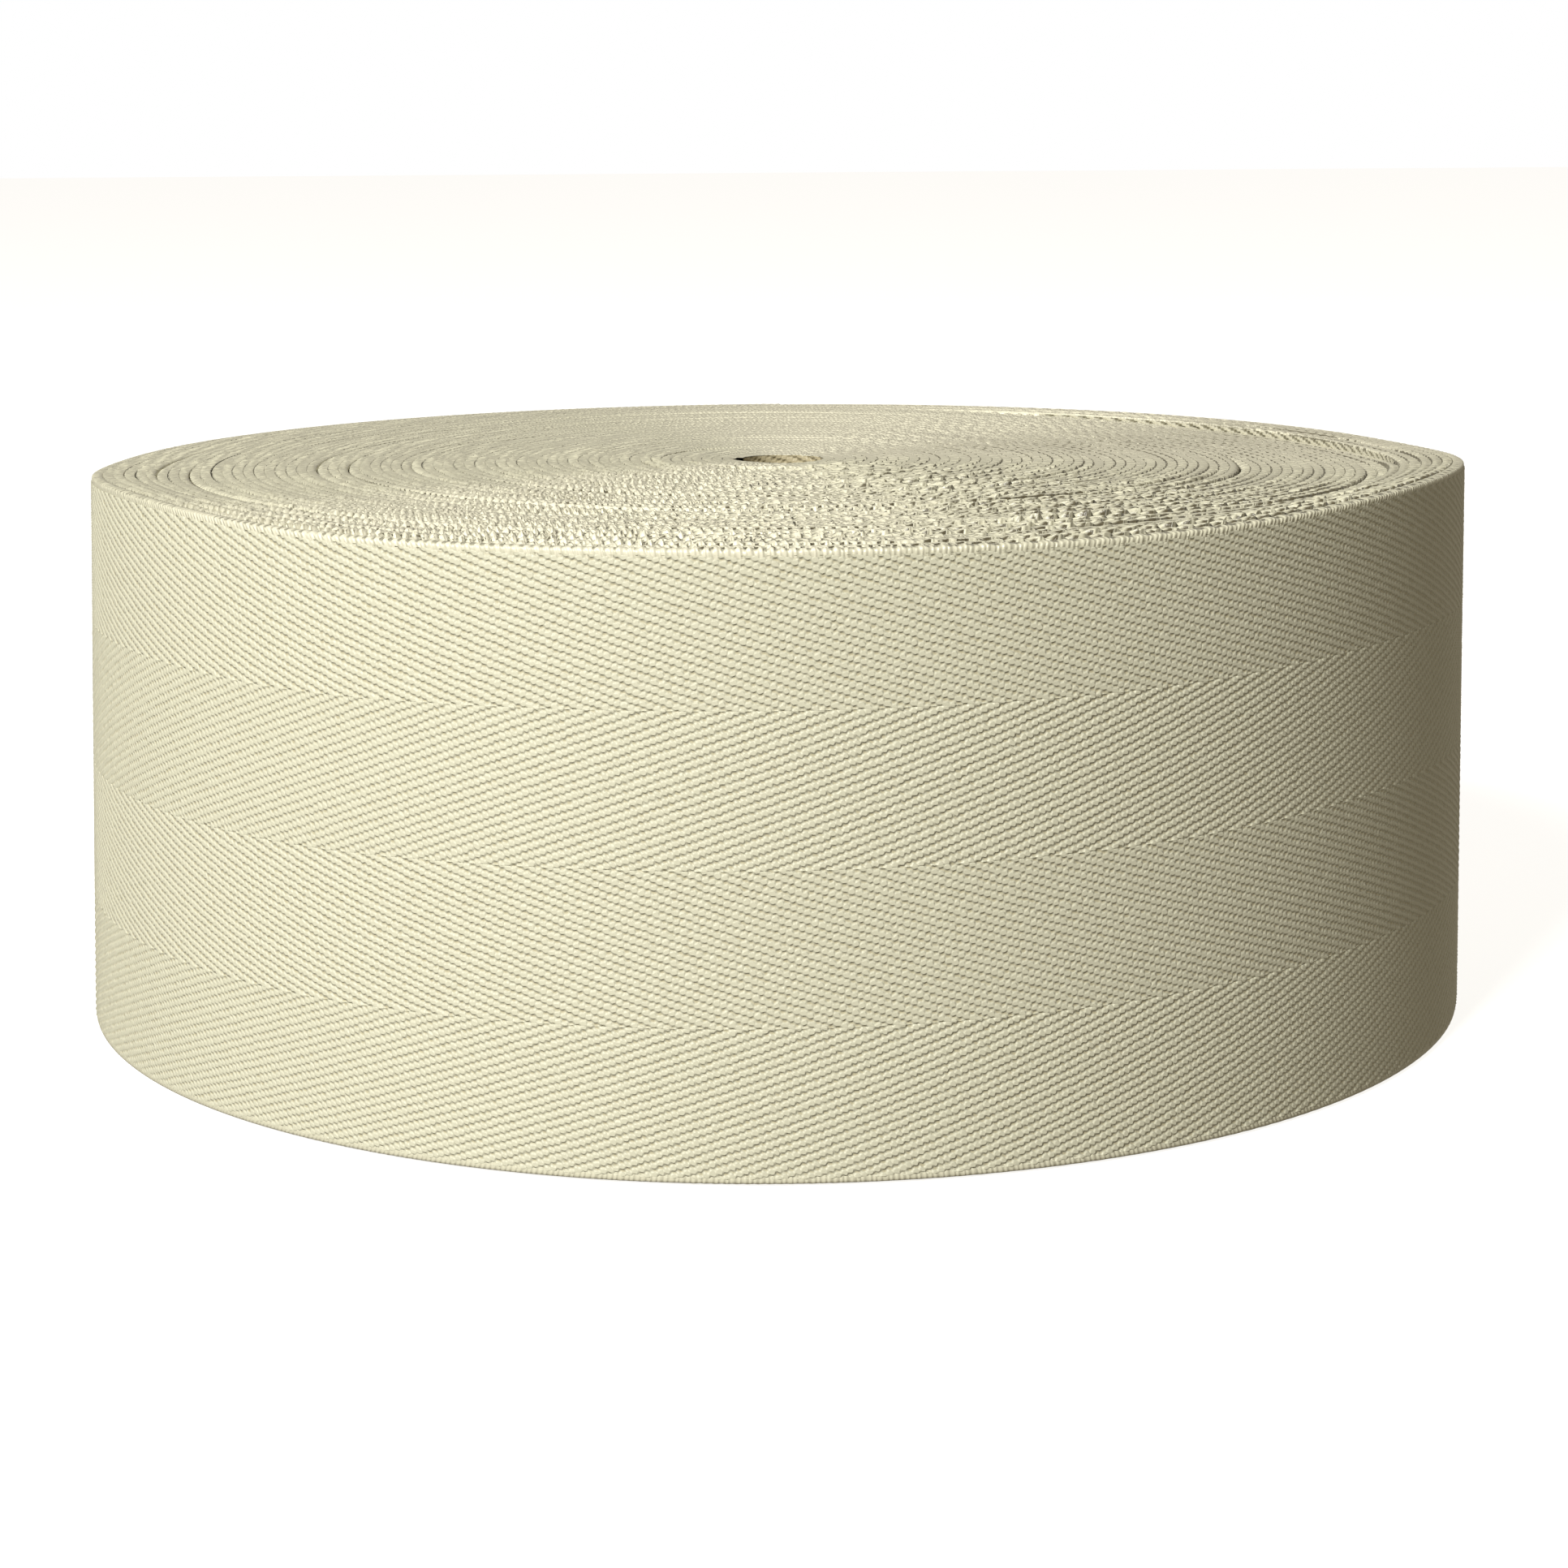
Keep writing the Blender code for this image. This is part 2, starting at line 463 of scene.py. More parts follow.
def dress(piece: bpy.types.Object, material: bpy.types.Material) -> bpy.types.Object:
    """Give a piece its material and its place in the frame.

    Args:
        piece: The piece.
        material: Its finish.

    Returns:
        The same piece.
    """
    piece.data.materials.append(material)
    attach(piece, BODY)
    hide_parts(NODE)
    triangles = sum(len(face.vertices) - 2 for face in piece.data.polygons)
    log.info("%s: %d triangles", piece.name, triangles)
    return piece


def new_material(name: str) -> tuple[bpy.types.Material, Tree]:
    """Make a material with an empty node tree.

    Args:
        name: Its name.

    Returns:
        The material and its tree.
    """
    material = bpy.data.materials.new(name)
    material.use_nodes = True
    material.node_tree.nodes.clear()
    return material, material.node_tree


def add_node(tree: Tree, kind: str, settings: dict[str, Any] | None = None,
             **links: Any) -> bpy.types.Node:
    """Add one shader node.

    Args:
        tree: The node tree.
        kind: Blender's name for the node.
        settings: Values of the node's own properties.
        **links: A value or an output for each input, named "in_NUMBER" or by the
            input's name with underscores for spaces.

    Returns:
        The new node.
    """
    node = tree.nodes.new(kind)
    for name, value in (settings or {}).items():
        setattr(node, name, value)
    for name, value in links.items():
        key = int(name[3:]) if name.startswith("in_") else name.replace("_", " ")
        socket = node.inputs[key]
        if isinstance(value, bpy.types.NodeSocket):
            tree.links.new(value, socket)
        else:
            socket.default_value = value
    return node


def calculate(tree: Tree, operation: str, *values: Any) -> Socket:
    """Add a maths node.

    Args:
        tree: The node tree.
        operation: Blender's name for what it does.
        *values: A number or an output for each input.

    Returns:
        The result.
    """
    links = {f"in_{number}": value for number, value in enumerate(values)}
    return add_node(tree, "ShaderNodeMath", {"operation": operation}, **links).outputs[0]


def product(tree: Tree, *factors: Any) -> Socket:
    """Multiply several values.

    Args:
        tree: The node tree.
        *factors: Numbers or outputs.

    Returns:
        Their product.
    """
    result = factors[0]
    for factor in factors[1:]:
        result = calculate(tree, "MULTIPLY", result, factor)
    return result


def weighted(tree: Tree, base: Any, *parts: tuple[Socket, float]) -> Socket:
    """Add several values to a base, each times its share.

    Args:
        tree: The node tree.
        base: A number or an output.
        *parts: Values with their shares.

    Returns:
        The sum.
    """
    for value, share in parts:
        base = calculate(tree, "MULTIPLY_ADD", value, share, base)
    return base


def ease(tree: Tree, value: Socket, ends: tuple[float, float]) -> Socket:
    """Ease from 0 to 1, flat outside.

    Args:
        tree: The node tree.
        value: What is eased.
        ends: The value that gives 0, then the one that gives 1.

    Returns:
        The eased value.
    """
    ramp = add_node(tree, "ShaderNodeMapRange", {"interpolation_type": "SMOOTHSTEP"},
                    Value=value, From_Min=ends[0], From_Max=ends[1])
    return ramp.outputs[0]


def blend(tree: Tree, share: Socket, first: str | Socket, second: str | Socket) -> Socket:
    """Mix two colours.

    Args:
        tree: The node tree.
        share: How much of the second.
        first: A hex colour or an output.
        second: A hex colour or an output.

    Returns:
        The mixed colour.
    """
    ends = [linear(end) if isinstance(end, str) else end for end in (first, second)]
    mixed = add_node(tree, "ShaderNodeMix", {"data_type": "RGBA"},
                     in_0=share, in_6=ends[0], in_7=ends[1])
    return mixed.outputs[2]


def noise(tree: Tree, place: Socket, scale: float, detail: float = 1.0,
          signed: bool = True) -> bpy.types.Node:
    """Add smooth noise over a flat map.

    Args:
        tree: The node tree.
        place: Places in the map.
        scale: How fine the noise is.
        detail: How many finer layers it has.
        signed: Whether it lies round 0 and not from 0 to 1.

    Returns:
        The node, which gives a value and then a colour.
    """
    settings = {"noise_dimensions": "2D", "normalize": not signed}
    return add_node(tree, "ShaderNodeTexNoise", settings,
                    Vector=place, Scale=scale, Detail=detail)


def bump(tree: Tree, height: Socket, distance: float, strength: float = 1.0,
         **under: Socket) -> Socket:
    """Add relief to a surface's shading.

    Args:
        tree: The node tree.
        height: The relief, as a share.
        distance: What a share of 1 stands for.
        strength: How much of the relief shows.
        **under: Normal, where this relief lies over another.

    Returns:
        The new normal.
    """
    return add_node(tree, "ShaderNodeBump", Height=height, Distance=distance,
                    Strength=strength, **under).outputs[0]


@dataclass(frozen=True)
class YarnSurface:
    """Surface of the yarn: polyester-cotton filaments, matt with a soft gleam."""

    roughness: float
    specular: float
    sheen_roughness: float
    ior: float = 1.50
    sheen: float = 0.10

    def shade(self, tree: Tree, colour: Socket, normal: Socket) -> None:
        """Add the shader and the material's output.

        Args:
            tree: The material's node tree.
            colour: Colour of the yarn.
            normal: Its normal.
        """
        shader = add_node(tree, "ShaderNodeBsdfPrincipled", Base_Color=colour, Normal=normal)
        shader.inputs["Roughness"].default_value = self.roughness
        shader.inputs["IOR"].default_value = self.ior
        shader.inputs["Specular IOR Level"].default_value = self.specular
        shader.inputs["Sheen Weight"].default_value = self.sheen
        shader.inputs["Sheen Roughness"].default_value = self.sheen_roughness
        add_node(tree, "ShaderNodeOutputMaterial", Surface=shader.outputs[0])


class RibSlope(Enum):
    """Which way the twill's ribs run on the outside of the webbing."""

    FALLING = 1
    RISING = -1


@dataclass(frozen=True)
class Twill:
    """The 2/2 herringbone twill: its yarns' spacing and relief."""

    pick: float = 0.503 * MM
    end: float = 0.1742 * MM
    ribs_per_pick: float = 0.25
    lean: float = 0.092
    relief: float = 0.16 * MM
    bands: int = 4
    selvedge: float = 0.50 * MM
    pick_share: float = 0.12

    @property
    def rib(self) -> float:
        """Height of one rib, four ends."""
        return 4.0 * self.end

    def shares(self, slope: RibSlope) -> tuple[float, float]:
        """How much of the relief is the ribs, and the slanting gaps between floats."""
        return (0.62, 0.26) if slope is RibSlope.FALLING else (0.52, 0.36)

    def height(self, along: np.ndarray, across: np.ndarray, slope: RibSlope) -> np.ndarray:
        """Relief of the floats at places in the weave's own grid.

        Args:
            along: Picks, with a float in the middle of each whole number.
            across: Ribs, with a float in the middle of each whole number.
            slope: Which way the ribs run.

        Returns:
            The relief over the wall in metres, from a half down to a half up.
        """
        pick_wave = np.cos(TAU * along)
        rib_wave = np.cos(TAU * across)
        slant_wave = np.cos(TAU * (along - across * slope.value))
        rib_share, slant_share = self.shares(slope)
        wave = self.pick_share * pick_wave + rib_share * rib_wave + slant_share * slant_wave
        return 0.5 * self.relief * wave


@dataclass(frozen=True)
class TwillFinish:
    """Woven polyester-cotton yarn in a 2/2 twill, undyed cream, matt.

    The eye sees rows of small rounded floats that lean along the twill, each with a
    soft gleam on its upper side, and thin grooves between the ribs that are darkened
    to tan with painted shade.
    """

    name: str
    slope: RibSlope
    twill: Twill = Twill()
    surface: YarnSurface = YarnSurface(roughness=0.45, specular=0.50, sheen_roughness=0.45)
    yarn: str = "#E3E2CB"
    # Colour of the painted shade in the grooves between the floats
    gap: str = "#D2CCAD"
    twill_shade_full: float = -0.90
    twill_shade_reach: float = -0.30
    crown: tuple[float, float] = (-0.95, 0.35)
    float_depth: float = 0.13 * MM
    float_scale: float = 0.9
    float_unevenness: float = 0.25
    fibre_stretch: tuple[float, float, float] = (1.5, 8.0556, 1.0)
    fibre_depth: float = 0.006 * MM
    fibre_strength: float = 0.6
    sway_scale: float = 0.6
    sway: float = 0.10

    def build(self) -> bpy.types.Material:
        """Make the material.

        Returns:
            A node material that reads the weave map.
        """
        material, tree = new_material(self.name)
        mapped = add_node(tree, "ShaderNodeUVMap", {"uv_map": WEAVE_MAP}).outputs[0]
        swaying = noise(tree, mapped, self.sway_scale).outputs[1]
        placed = add_node(tree, "ShaderNodeVectorMath", {"operation": "MULTIPLY_ADD"},
                          in_0=swaying, in_1=(self.sway, self.sway, 0.0), in_2=mapped)
        grid = add_node(tree, "ShaderNodeSeparateXYZ", in_0=placed.outputs[0])
        rib_share, slant_share = self.twill.shares(self.slope)
        picks = product(tree, self._wave(tree, grid, 1.0, 0.0), self.twill.pick_share)
        ribs = self._wave(tree, grid, 0.0, 1.0)
        slants = self._wave(tree, grid, 1.0, -float(self.slope.value))
        uneven = noise(tree, mapped, self.float_scale, detail=2.0).outputs[0]
        lifted = weighted(tree, picks, (ribs, rib_share), (slants, slant_share),
                          (uneven, self.float_unevenness))
        # Painted shade: the yarn turns towards the gap colour where the relief sinks into a groove
        shown = ease(tree, lifted, (self.twill_shade_full, self.twill_shade_reach))
        colour = blend(tree, shown, self.gap, self.yarn)

        # Fine filaments, drawn coarser than real so that they show
        stretched = add_node(tree, "ShaderNodeMapping", Vector=mapped, Scale=self.fibre_stretch)
        fibres = noise(tree, stretched.outputs[0], 1.0, signed=False).outputs[0]
        filaments = bump(tree, fibres, self.fibre_depth, self.fibre_strength)
        # Rounded floats with flat crowns and narrow grooves
        rounded = ease(tree, lifted, self.crown)
        floats = bump(tree, rounded, self.float_depth, Normal=filaments)
        self.surface.shade(tree, colour, floats)
        return material

    def _wave(self, tree: Tree, grid: bpy.types.Node, along: float, across: float) -> Socket:
        """Cosine wave that crests once for each float.

        Args:
            tree: The node tree.
            grid: The node that parts the weave map's two coordinates.
            along: How often the wave crests for each pick.
            across: How often it crests for each rib.

        Returns:
            The wave, from -1 to 1.
        """
        first = product(tree, grid.outputs[0], TAU * along)
        return calculate(tree, "COSINE", weighted(tree, first, (grid.outputs[1], TAU * across)))


@dataclass(frozen=True)
class LoopSigns:
    """Outputs that tell where a point of a selvedge lies, shared by colour and bump.

    loops counts the loops along it and turn runs from 0 to 1 across it. rough, slow
    and dashes are noises. heading points outwards. front, near and paired ease from
    0 to 1 towards the front of the roll, just past its middle, and its right.
    """

    loops: Socket
    turn: Socket
    rough: Socket
    slow: Socket
    dashes: Socket
    heading: Socket
    front: Socket
    near: Socket
    paired: Socket


@dataclass(frozen=True)
class SelvedgeFinish:
    """Selvedge of woven polyester-cotton yarn: picks that loop round the edge.

    The crests of the loops carry a painted highlight, with a painted sheen wedge at
    the back, and between every second pair the eye looks into a short slit beside the
    next turn that is darkened with painted shade.
    """

    name: str = "selvedge_loops_woven_yarn"
    surface: YarnSurface = YarnSurface(roughness=0.38, specular=0.80, sheen_roughness=0.50)
    yarn: str = "#E6E4CC"
    # Colour of the painted highlight on the crests
    gleam: str = "#F8F5DE"
    # Colour of the painted shade in the slits and grooves
    slit: str = "#4C4329"
    # Where the front, the near half and the paired loops begin and are whole
    front_edge: tuple[float, float] = (0.002, -0.030)
    near_edge: tuple[float, float] = (0.004, -0.006)
    paired_edge: tuple[float, float] = (0.002, 0.022)
    # Noises: scale along the loops and across the turns
    rough_stretch: tuple[float, float, float] = (1.0, 1.0, 1.0)
    slow_stretch: tuple[float, float, float] = (0.05, 0.0, 1.0)
    dash_stretch: tuple[float, float, float] = (0.9, 0.2, 1.0)
    rough_scale: float = 1.3
    # Slits between the loops, darkened with painted shade
    single_place: float = 0.52
    pair_place: float = 0.95
    rough_share: float = 0.9
    slow_share: float = 0.8
    paired_slack: float = 0.79
    paired_reach: float = 0.18
    slit_opening: tuple[float, float] = (0.49, 1.04)
    slit_side: tuple[float, float] = (0.55, 0.95)
    slit_shade: float = 0.95
    # The groove beside the next turn, darkened with painted shade
    groove_widening: float = 0.04
    groove_edge: tuple[float, float] = (0.44, 0.49)
    groove_slow: float = 1.1
    groove_paired: float = 0.30
    groove_breaks: tuple[float, float] = (-0.15, 0.30)
    groove_azimuth: float = 75.0
    groove_sides: tuple[float, float] = (0.95, 0.35)
    groove_shade: float = 0.85
    groove_dip: float = 0.25
    # Painted highlight on the crests at the left of the front, and a painted sheen wedge at the back
    crest_reach: tuple[float, float] = (0.80, -0.15)
    crest_side: tuple[float, float] = (0.15, 0.45)
    crest_azimuth: float = 255.0
    crest_sector: tuple[float, float] = (0.70, 0.92)
    sheen_wedge_azimuth: float = 50.0
    sheen_wedge_sector: tuple[float, float] = (0.35, 0.85)
    # Relief of the loops and their strands
    loop_depth: float = 0.12 * MM
    rough_dip: float = 0.22
    strand_depth: float = 0.031 * MM
    strand_strength: float = 0.8
    strands_in_loop: float = 1.9
    strand_lean: float = 0.8
    strand_start: float = 0.25
    strand_bend: float = 1.5

    def build(self) -> bpy.types.Material:
        """Make the material.

        Returns:
            A node material; its map counts loops along and turns across.
        """
        material, tree = new_material(self.name)
        signs = self._signs(tree)
        slack = self._slack(tree, signs)
        # Painted shade in the slits and grooves, and a painted highlight on the crests, mixed into
        # the yarn's colour
        deep = product(tree, self._slits(tree, signs, slack), self.slit_shade)
        shade = product(tree, self._grooves(tree, signs), self.groove_shade)
        highlit_yarn = blend(tree, self._painted_highlight(tree, signs, slack), self.yarn, self.gleam)
        colour = blend(tree, calculate(tree, "MAXIMUM", shade, deep), highlit_yarn, self.slit)

        strands = bump(tree, self._strands(tree, signs), self.strand_depth,
                       self.strand_strength)
        raised = calculate(tree, "SUBTRACT", 1.0, weighted(tree, deep, (shade, self.groove_dip)))
        sunk = weighted(tree, raised, (signs.rough, self.rough_dip))
        self.surface.shade(tree, colour, bump(tree, sunk, self.loop_depth, Normal=strands))
        return material

    def _signs(self, tree: Tree) -> LoopSigns:
        """Add the outputs that tell where a point lies.

        Args:
            tree: The node tree.

        Returns:
            The outputs.
        """
        mapped = add_node(tree, "ShaderNodeUVMap", {"uv_map": WEAVE_MAP}).outputs[0]
        grid = add_node(tree, "ShaderNodeSeparateXYZ", in_0=mapped)
        spot = add_node(tree, "ShaderNodeTexCoord").outputs["Object"]
        ground = add_node(tree, "ShaderNodeSeparateXYZ", in_0=spot)
        outwards = add_node(tree, "ShaderNodeVectorMath", {"operation": "MULTIPLY"},
                            in_0=spot, in_1=(1.0, 1.0, 0.0))
        heading = add_node(tree, "ShaderNodeVectorMath", {"operation": "NORMALIZE"},
                           in_0=outwards.outputs[0])
        return LoopSigns(
            loops=grid.outputs[0],
            turn=grid.outputs[1],
            rough=self._stretched(tree, mapped, self.rough_stretch, self.rough_scale),
            slow=self._stretched(tree, mapped, self.slow_stretch, 1.0),
            dashes=self._stretched(tree, mapped, self.dash_stretch, 1.0),
            heading=heading.outputs[0],
            front=ease(tree, ground.outputs[1], self.front_edge),
            near=ease(tree, ground.outputs[1], self.near_edge),
            paired=ease(tree, ground.outputs[0], self.paired_edge))

    def _slack(self, tree: Tree, signs: LoopSigns) -> Socket:
        """How slack the selvedge is: a wave over the loops, or over pairs at the right.

        Args:
            tree: The node tree.
            signs: Where the point lies.

        Returns:
            The wave with its unevenness.
        """
        single = self._crests(tree, signs.loops, 1.0, self.single_place)
        pair = self._crests(tree, signs.loops, 0.5, self.pair_place)
        wave = add_node(tree, "ShaderNodeMix", {"data_type": "FLOAT"},
                        in_0=signs.paired, in_2=single, in_3=pair).outputs[0]
        return weighted(tree, wave, (signs.rough, self.rough_share),
                        (signs.slow, self.slow_share))

    def _slits(self, tree: Tree, signs: LoopSigns, slack: Socket) -> Socket:
        """Painted shade in slits in the outer half of each turn, at the front of the roll.

        Args:
            tree: The node tree.
            signs: Where the point lies.
            slack: How slack the selvedge is there.

        Returns:
            How open a slit is, from 0 to 1.
        """
        reach = weighted(tree, slack, (signs.paired, self.paired_slack))
        lower = weighted(tree, signs.turn, (signs.paired, self.paired_reach))
        return product(tree, ease(tree, reach, self.slit_opening),
                       ease(tree, lower, self.slit_side), signs.front)

    def _grooves(self, tree: Tree, signs: LoopSigns) -> Socket:
        """Painted shade in the groove beside the next turn, drawn as a broken line at both sides.

        Args:
            tree: The node tree.
            signs: Where the point lies.

        Returns:
            How much of the groove shows, from 0 to 1.
        """
        away = calculate(tree, "ABSOLUTE", calculate(tree, "SUBTRACT", signs.turn, 0.5))
        widened = weighted(tree, away, (signs.paired, self.groove_widening))
        often = weighted(tree, signs.dashes, (signs.slow, self.groove_slow),
                         (signs.paired, self.groove_paired))
        facing = self._towards(tree, signs, self.groove_azimuth)
        return product(tree, ease(tree, widened, self.groove_edge),
                       ease(tree, often, self.groove_breaks),
                       ease(tree, product(tree, facing, facing), self.groove_sides))

    def _painted_highlight(self, tree: Tree, signs: LoopSigns, slack: Socket) -> Socket:
        """Where a painted highlight lightens the yarn, at the front left and at the back.

        Args:
            tree: The node tree.
            signs: Where the point lies.
            slack: How slack the selvedge is there.

        Returns:
            How pale the yarn is, from 0 to 1.
        """
        ahead = self._towards(tree, signs, self.crest_azimuth)
        behind = self._towards(tree, signs, self.sheen_wedge_azimuth)
        # Painted highlight on the loops' crests towards the front left, and a painted sheen wedge at
        # the back
        drawn = product(tree, ease(tree, slack, self.crest_reach),
                        ease(tree, ahead, self.crest_sector), signs.near,
                        calculate(tree, "SUBTRACT", 1.0, signs.paired),
                        ease(tree, signs.turn, self.crest_side))
        return calculate(tree, "MAXIMUM", drawn, ease(tree, behind, self.sheen_wedge_sector))

    def _strands(self, tree: Tree, signs: LoopSigns) -> Socket:
        """Single strands of the loops, which lean and lie unevenly.

        Args:
            tree: The node tree.
            signs: Where the point lies.

        Returns:
            A wave over the strands, from -1 to 1.
        """
        bent = weighted(tree, TAU * self.strand_start, (signs.turn, TAU * self.strand_lean),
                        (signs.loops, TAU * self.strands_in_loop),
                        (signs.rough, self.strand_bend))
        return calculate(tree, "SINE", bent)

    def _crests(self, tree: Tree, loops: Socket, often: float, place: float) -> Socket:
        """Cosine wave along the loops.

        Args:
            tree: The node tree.
            loops: Places along the selvedge, in loops.
            often: Crests for each loop.
            place: Where one crest lies, in loops.

        Returns:
            The wave, from -1 to 1.
        """
        phase = weighted(tree, -TAU * often * place, (loops, TAU * often))
        return calculate(tree, "COSINE", phase)

    def _stretched(self, tree: Tree, mapped: Socket, stretch: tuple[float, float, float],
                   scale: float) -> Socket:
        """Smooth noise round 0 over the loops and turns.

        Args:
            tree: The node tree.
            mapped: Places in the weave map.
            stretch: Scale along the loops and across the turns.
            scale: Scale of both.

        Returns:
            The noise.
        """
        stretched = add_node(tree, "ShaderNodeMapping", Vector=mapped, Scale=stretch)
        return noise(tree, stretched.outputs[0], scale).outputs[0]

    def _towards(self, tree: Tree, signs: LoopSigns, azimuth: float) -> Socket:
        """How far a point of the roll lies towards an azimuth.

        Args:
            tree: The node tree.
            signs: Where the point lies.
            azimuth: The azimuth in degrees.

        Returns:
            The cosine of the angle between them.
        """
        angle = math.radians(azimuth)
        return add_node(tree, "ShaderNodeVectorMath", {"operation": "DOT_PRODUCT"},
                        in_0=signs.heading,
                        in_1=(math.cos(angle), math.sin(angle), 0.0)).outputs[1]


@dataclass
class OuterFace:
    """The outermost turn's outside: four bands of ribs that fall and rise in turn."""

    form: WoundForm
    twill: Twill
    # The reversals wander up and down at both sides of the front
    wanders: tuple[Hump, ...] = (Hump(-0.9 * MM, 205.0, 60.0), Hump(0.5 * MM, 310.0, 55.0))
    wander_power: float = 0.7
    # The picks lean, but the cut end is straight
    straight_end: float = 30.0 * MM
    patch: tuple[int, int] = (97, 89)
    float_range: tuple[float, float] = (0.8, 1.2)
    seed: int = 21

    @property
    def picks(self) -> int:
        """Number of picks in the outermost turn."""
        radius = self.form.roll_radius - 0.5 * self.form.pitch
        return round(TAU * radius / self.twill.pick)

    def surface(self, column: np.ndarray, flat: np.ndarray, relief: np.ndarray) -> np.ndarray:
        """Points of the outer face.

        Args:
            column: Places along the turn in picks, from the outer end.
            flat: Heights across the webbing as woven, before the reversals wander.
            relief: Height of the weave over the wall.

        Returns:
            Points of the roll.
        """
        form = self.form
        width = form.width
        from_end = np.minimum(column, self.picks - column) * self.twill.pick
        lean = self.twill.lean * (flat - 0.5 * width) * smooth(from_end / self.straight_end)
        azimuth = form.outer_end + 360.0 * (column - lean / self.twill.pick) / self.picks
        wander = sum(hump.at(azimuth) for hump in self.wanders)
        inside = np.sin(np.pi * np.clip(flat / width, 0.0, 1.0)) ** self.wander_power
        across = flat + wander * inside
        rim = form.level(form.wall_winding(azimuth))
        height = across * (1.0 + rim / width)
        radius = form.inner_face(form.wall_winding(azimuth) + 1.0)
        radius = form.spread(radius, across) + relief
        return form.place(radius, azimuth, height)

    def band(self, number: int) -> tuple[float, float, RibSlope]:
        """Where a band lies.

        Args:
            number: The band, counted from the top.

        Returns:
            Its lower edge, its upper edge and which way its ribs run.
        """
        width = self.form.width
        high = width * (1.0 - number / self.twill.bands)
        low = width * (1.0 - (number + 1) / self.twill.bands)
        low = max(low, self.twill.selvedge)
        high = min(high, width - self.twill.selvedge)
        return low, high, RibSlope.FALLING if number % 2 == 0 else RibSlope.RISING

    def rib_phase(self, number: int) -> float:
        """Phase of a band's ribs, so that they meet crest to crest where they turn.

        Args:
            number: The band, counted from the top.

        Returns:
            The phase in ribs.
        """
        phase = 0.0
        for above in range(number):
            turns_at = self.form.width * (1.0 - (above + 1) / self.twill.bands)
            phase = (-2.0 * turns_at / self.twill.rib - phase) % 1.0
        return phase

    def build_band(self, number: int, material: bpy.types.Material) -> bpy.types.Object:
        """Build one band, with half-pick columns and half-rib rows along the ribs.

        Args:
            number: The band, counted from the top.
            material: Its finish.

        Returns:
            The dressed piece.
        """
        low, high, slope = self.band(number)
        rib = self.twill.rib
        columns = np.arange(2 * self.picks + 1)
        along = 0.5 * columns
        drift = self.twill.ribs_per_pick * slope.value * along + self.rib_phase(number)
        first_row = np.floor(2.0 * (low / rib + drift)).astype(int)
        last_row = np.ceil(2.0 * (high / rib + drift)).astype(int)
        rows_from = first_row.min()
        rows = np.arange(rows_from, last_row.max() + 1)

        row_grid = np.clip(rows[None, :], first_row[:, None], last_row[:, None])
        flat = np.clip((0.5 * row_grid - drift[:, None]) * rib, low, high)
        across = flat / rib + drift[:, None]
        along_grid = np.broadcast_to(along[:, None], across.shape)
        relief = self.twill.height(along_grid, across, slope)
        relief = relief * self.float_strength(along_grid, across)
        points = self.surface(along_grid, flat, relief)

        numbers = np.arange(flat.size).reshape(flat.shape)
        low_column = np.clip(first_row - rows_from, 0, len(rows) - 1)
        high_column = np.clip(last_row - rows_from, 0, len(rows) - 1)
        held = np.clip(np.arange(len(rows))[None, :], low_column[:, None], high_column[:, None])
        numbers = np.take_along_axis(numbers, held, axis=1)
        a, b = numbers[:-1, :-1], numbers[1:, :-1]
        c, d = numbers[1:, 1:], numbers[:-1, 1:]
        if slope is RibSlope.FALLING:
            quads = np.stack([a, b, c, d], axis=-1)
        else:
            quads = np.stack([b, c, d, a], axis=-1)
        parts = MeshParts()
        parts.add(points, np.stack([along_grid, across], axis=-1), quads)
        return dress(parts.build(f"outer_face_band_{number + 1}"), material)

    def float_strength(self, along: np.ndarray, across: np.ndarray) -> np.ndarray:
        """How proud each float stands, a little different for each one.

        Args:
            along: Picks.
            across: Ribs.

        Returns:
            A factor for the relief at each place.
        """
        patch = np.random.default_rng(self.seed).uniform(*self.float_range, self.patch)
        pick = np.round(along).astype(int) % self.patch[0]
        rib = np.round(across).astype(int) % self.patch[1]
        return patch[pick, rib]

    def build(self, falling: bpy.types.Material, rising: bpy.types.Material) -> None:
        """Build the bands from the top down.

        Args:
            falling: Finish of the bands whose ribs fall to the right.
            rising: Finish of the bands whose ribs rise to the right.
        """
        for number in range(self.twill.bands):
            slope = self.band(number)[2]
            self.build_band(number, falling if slope is RibSlope.FALLING else rising)


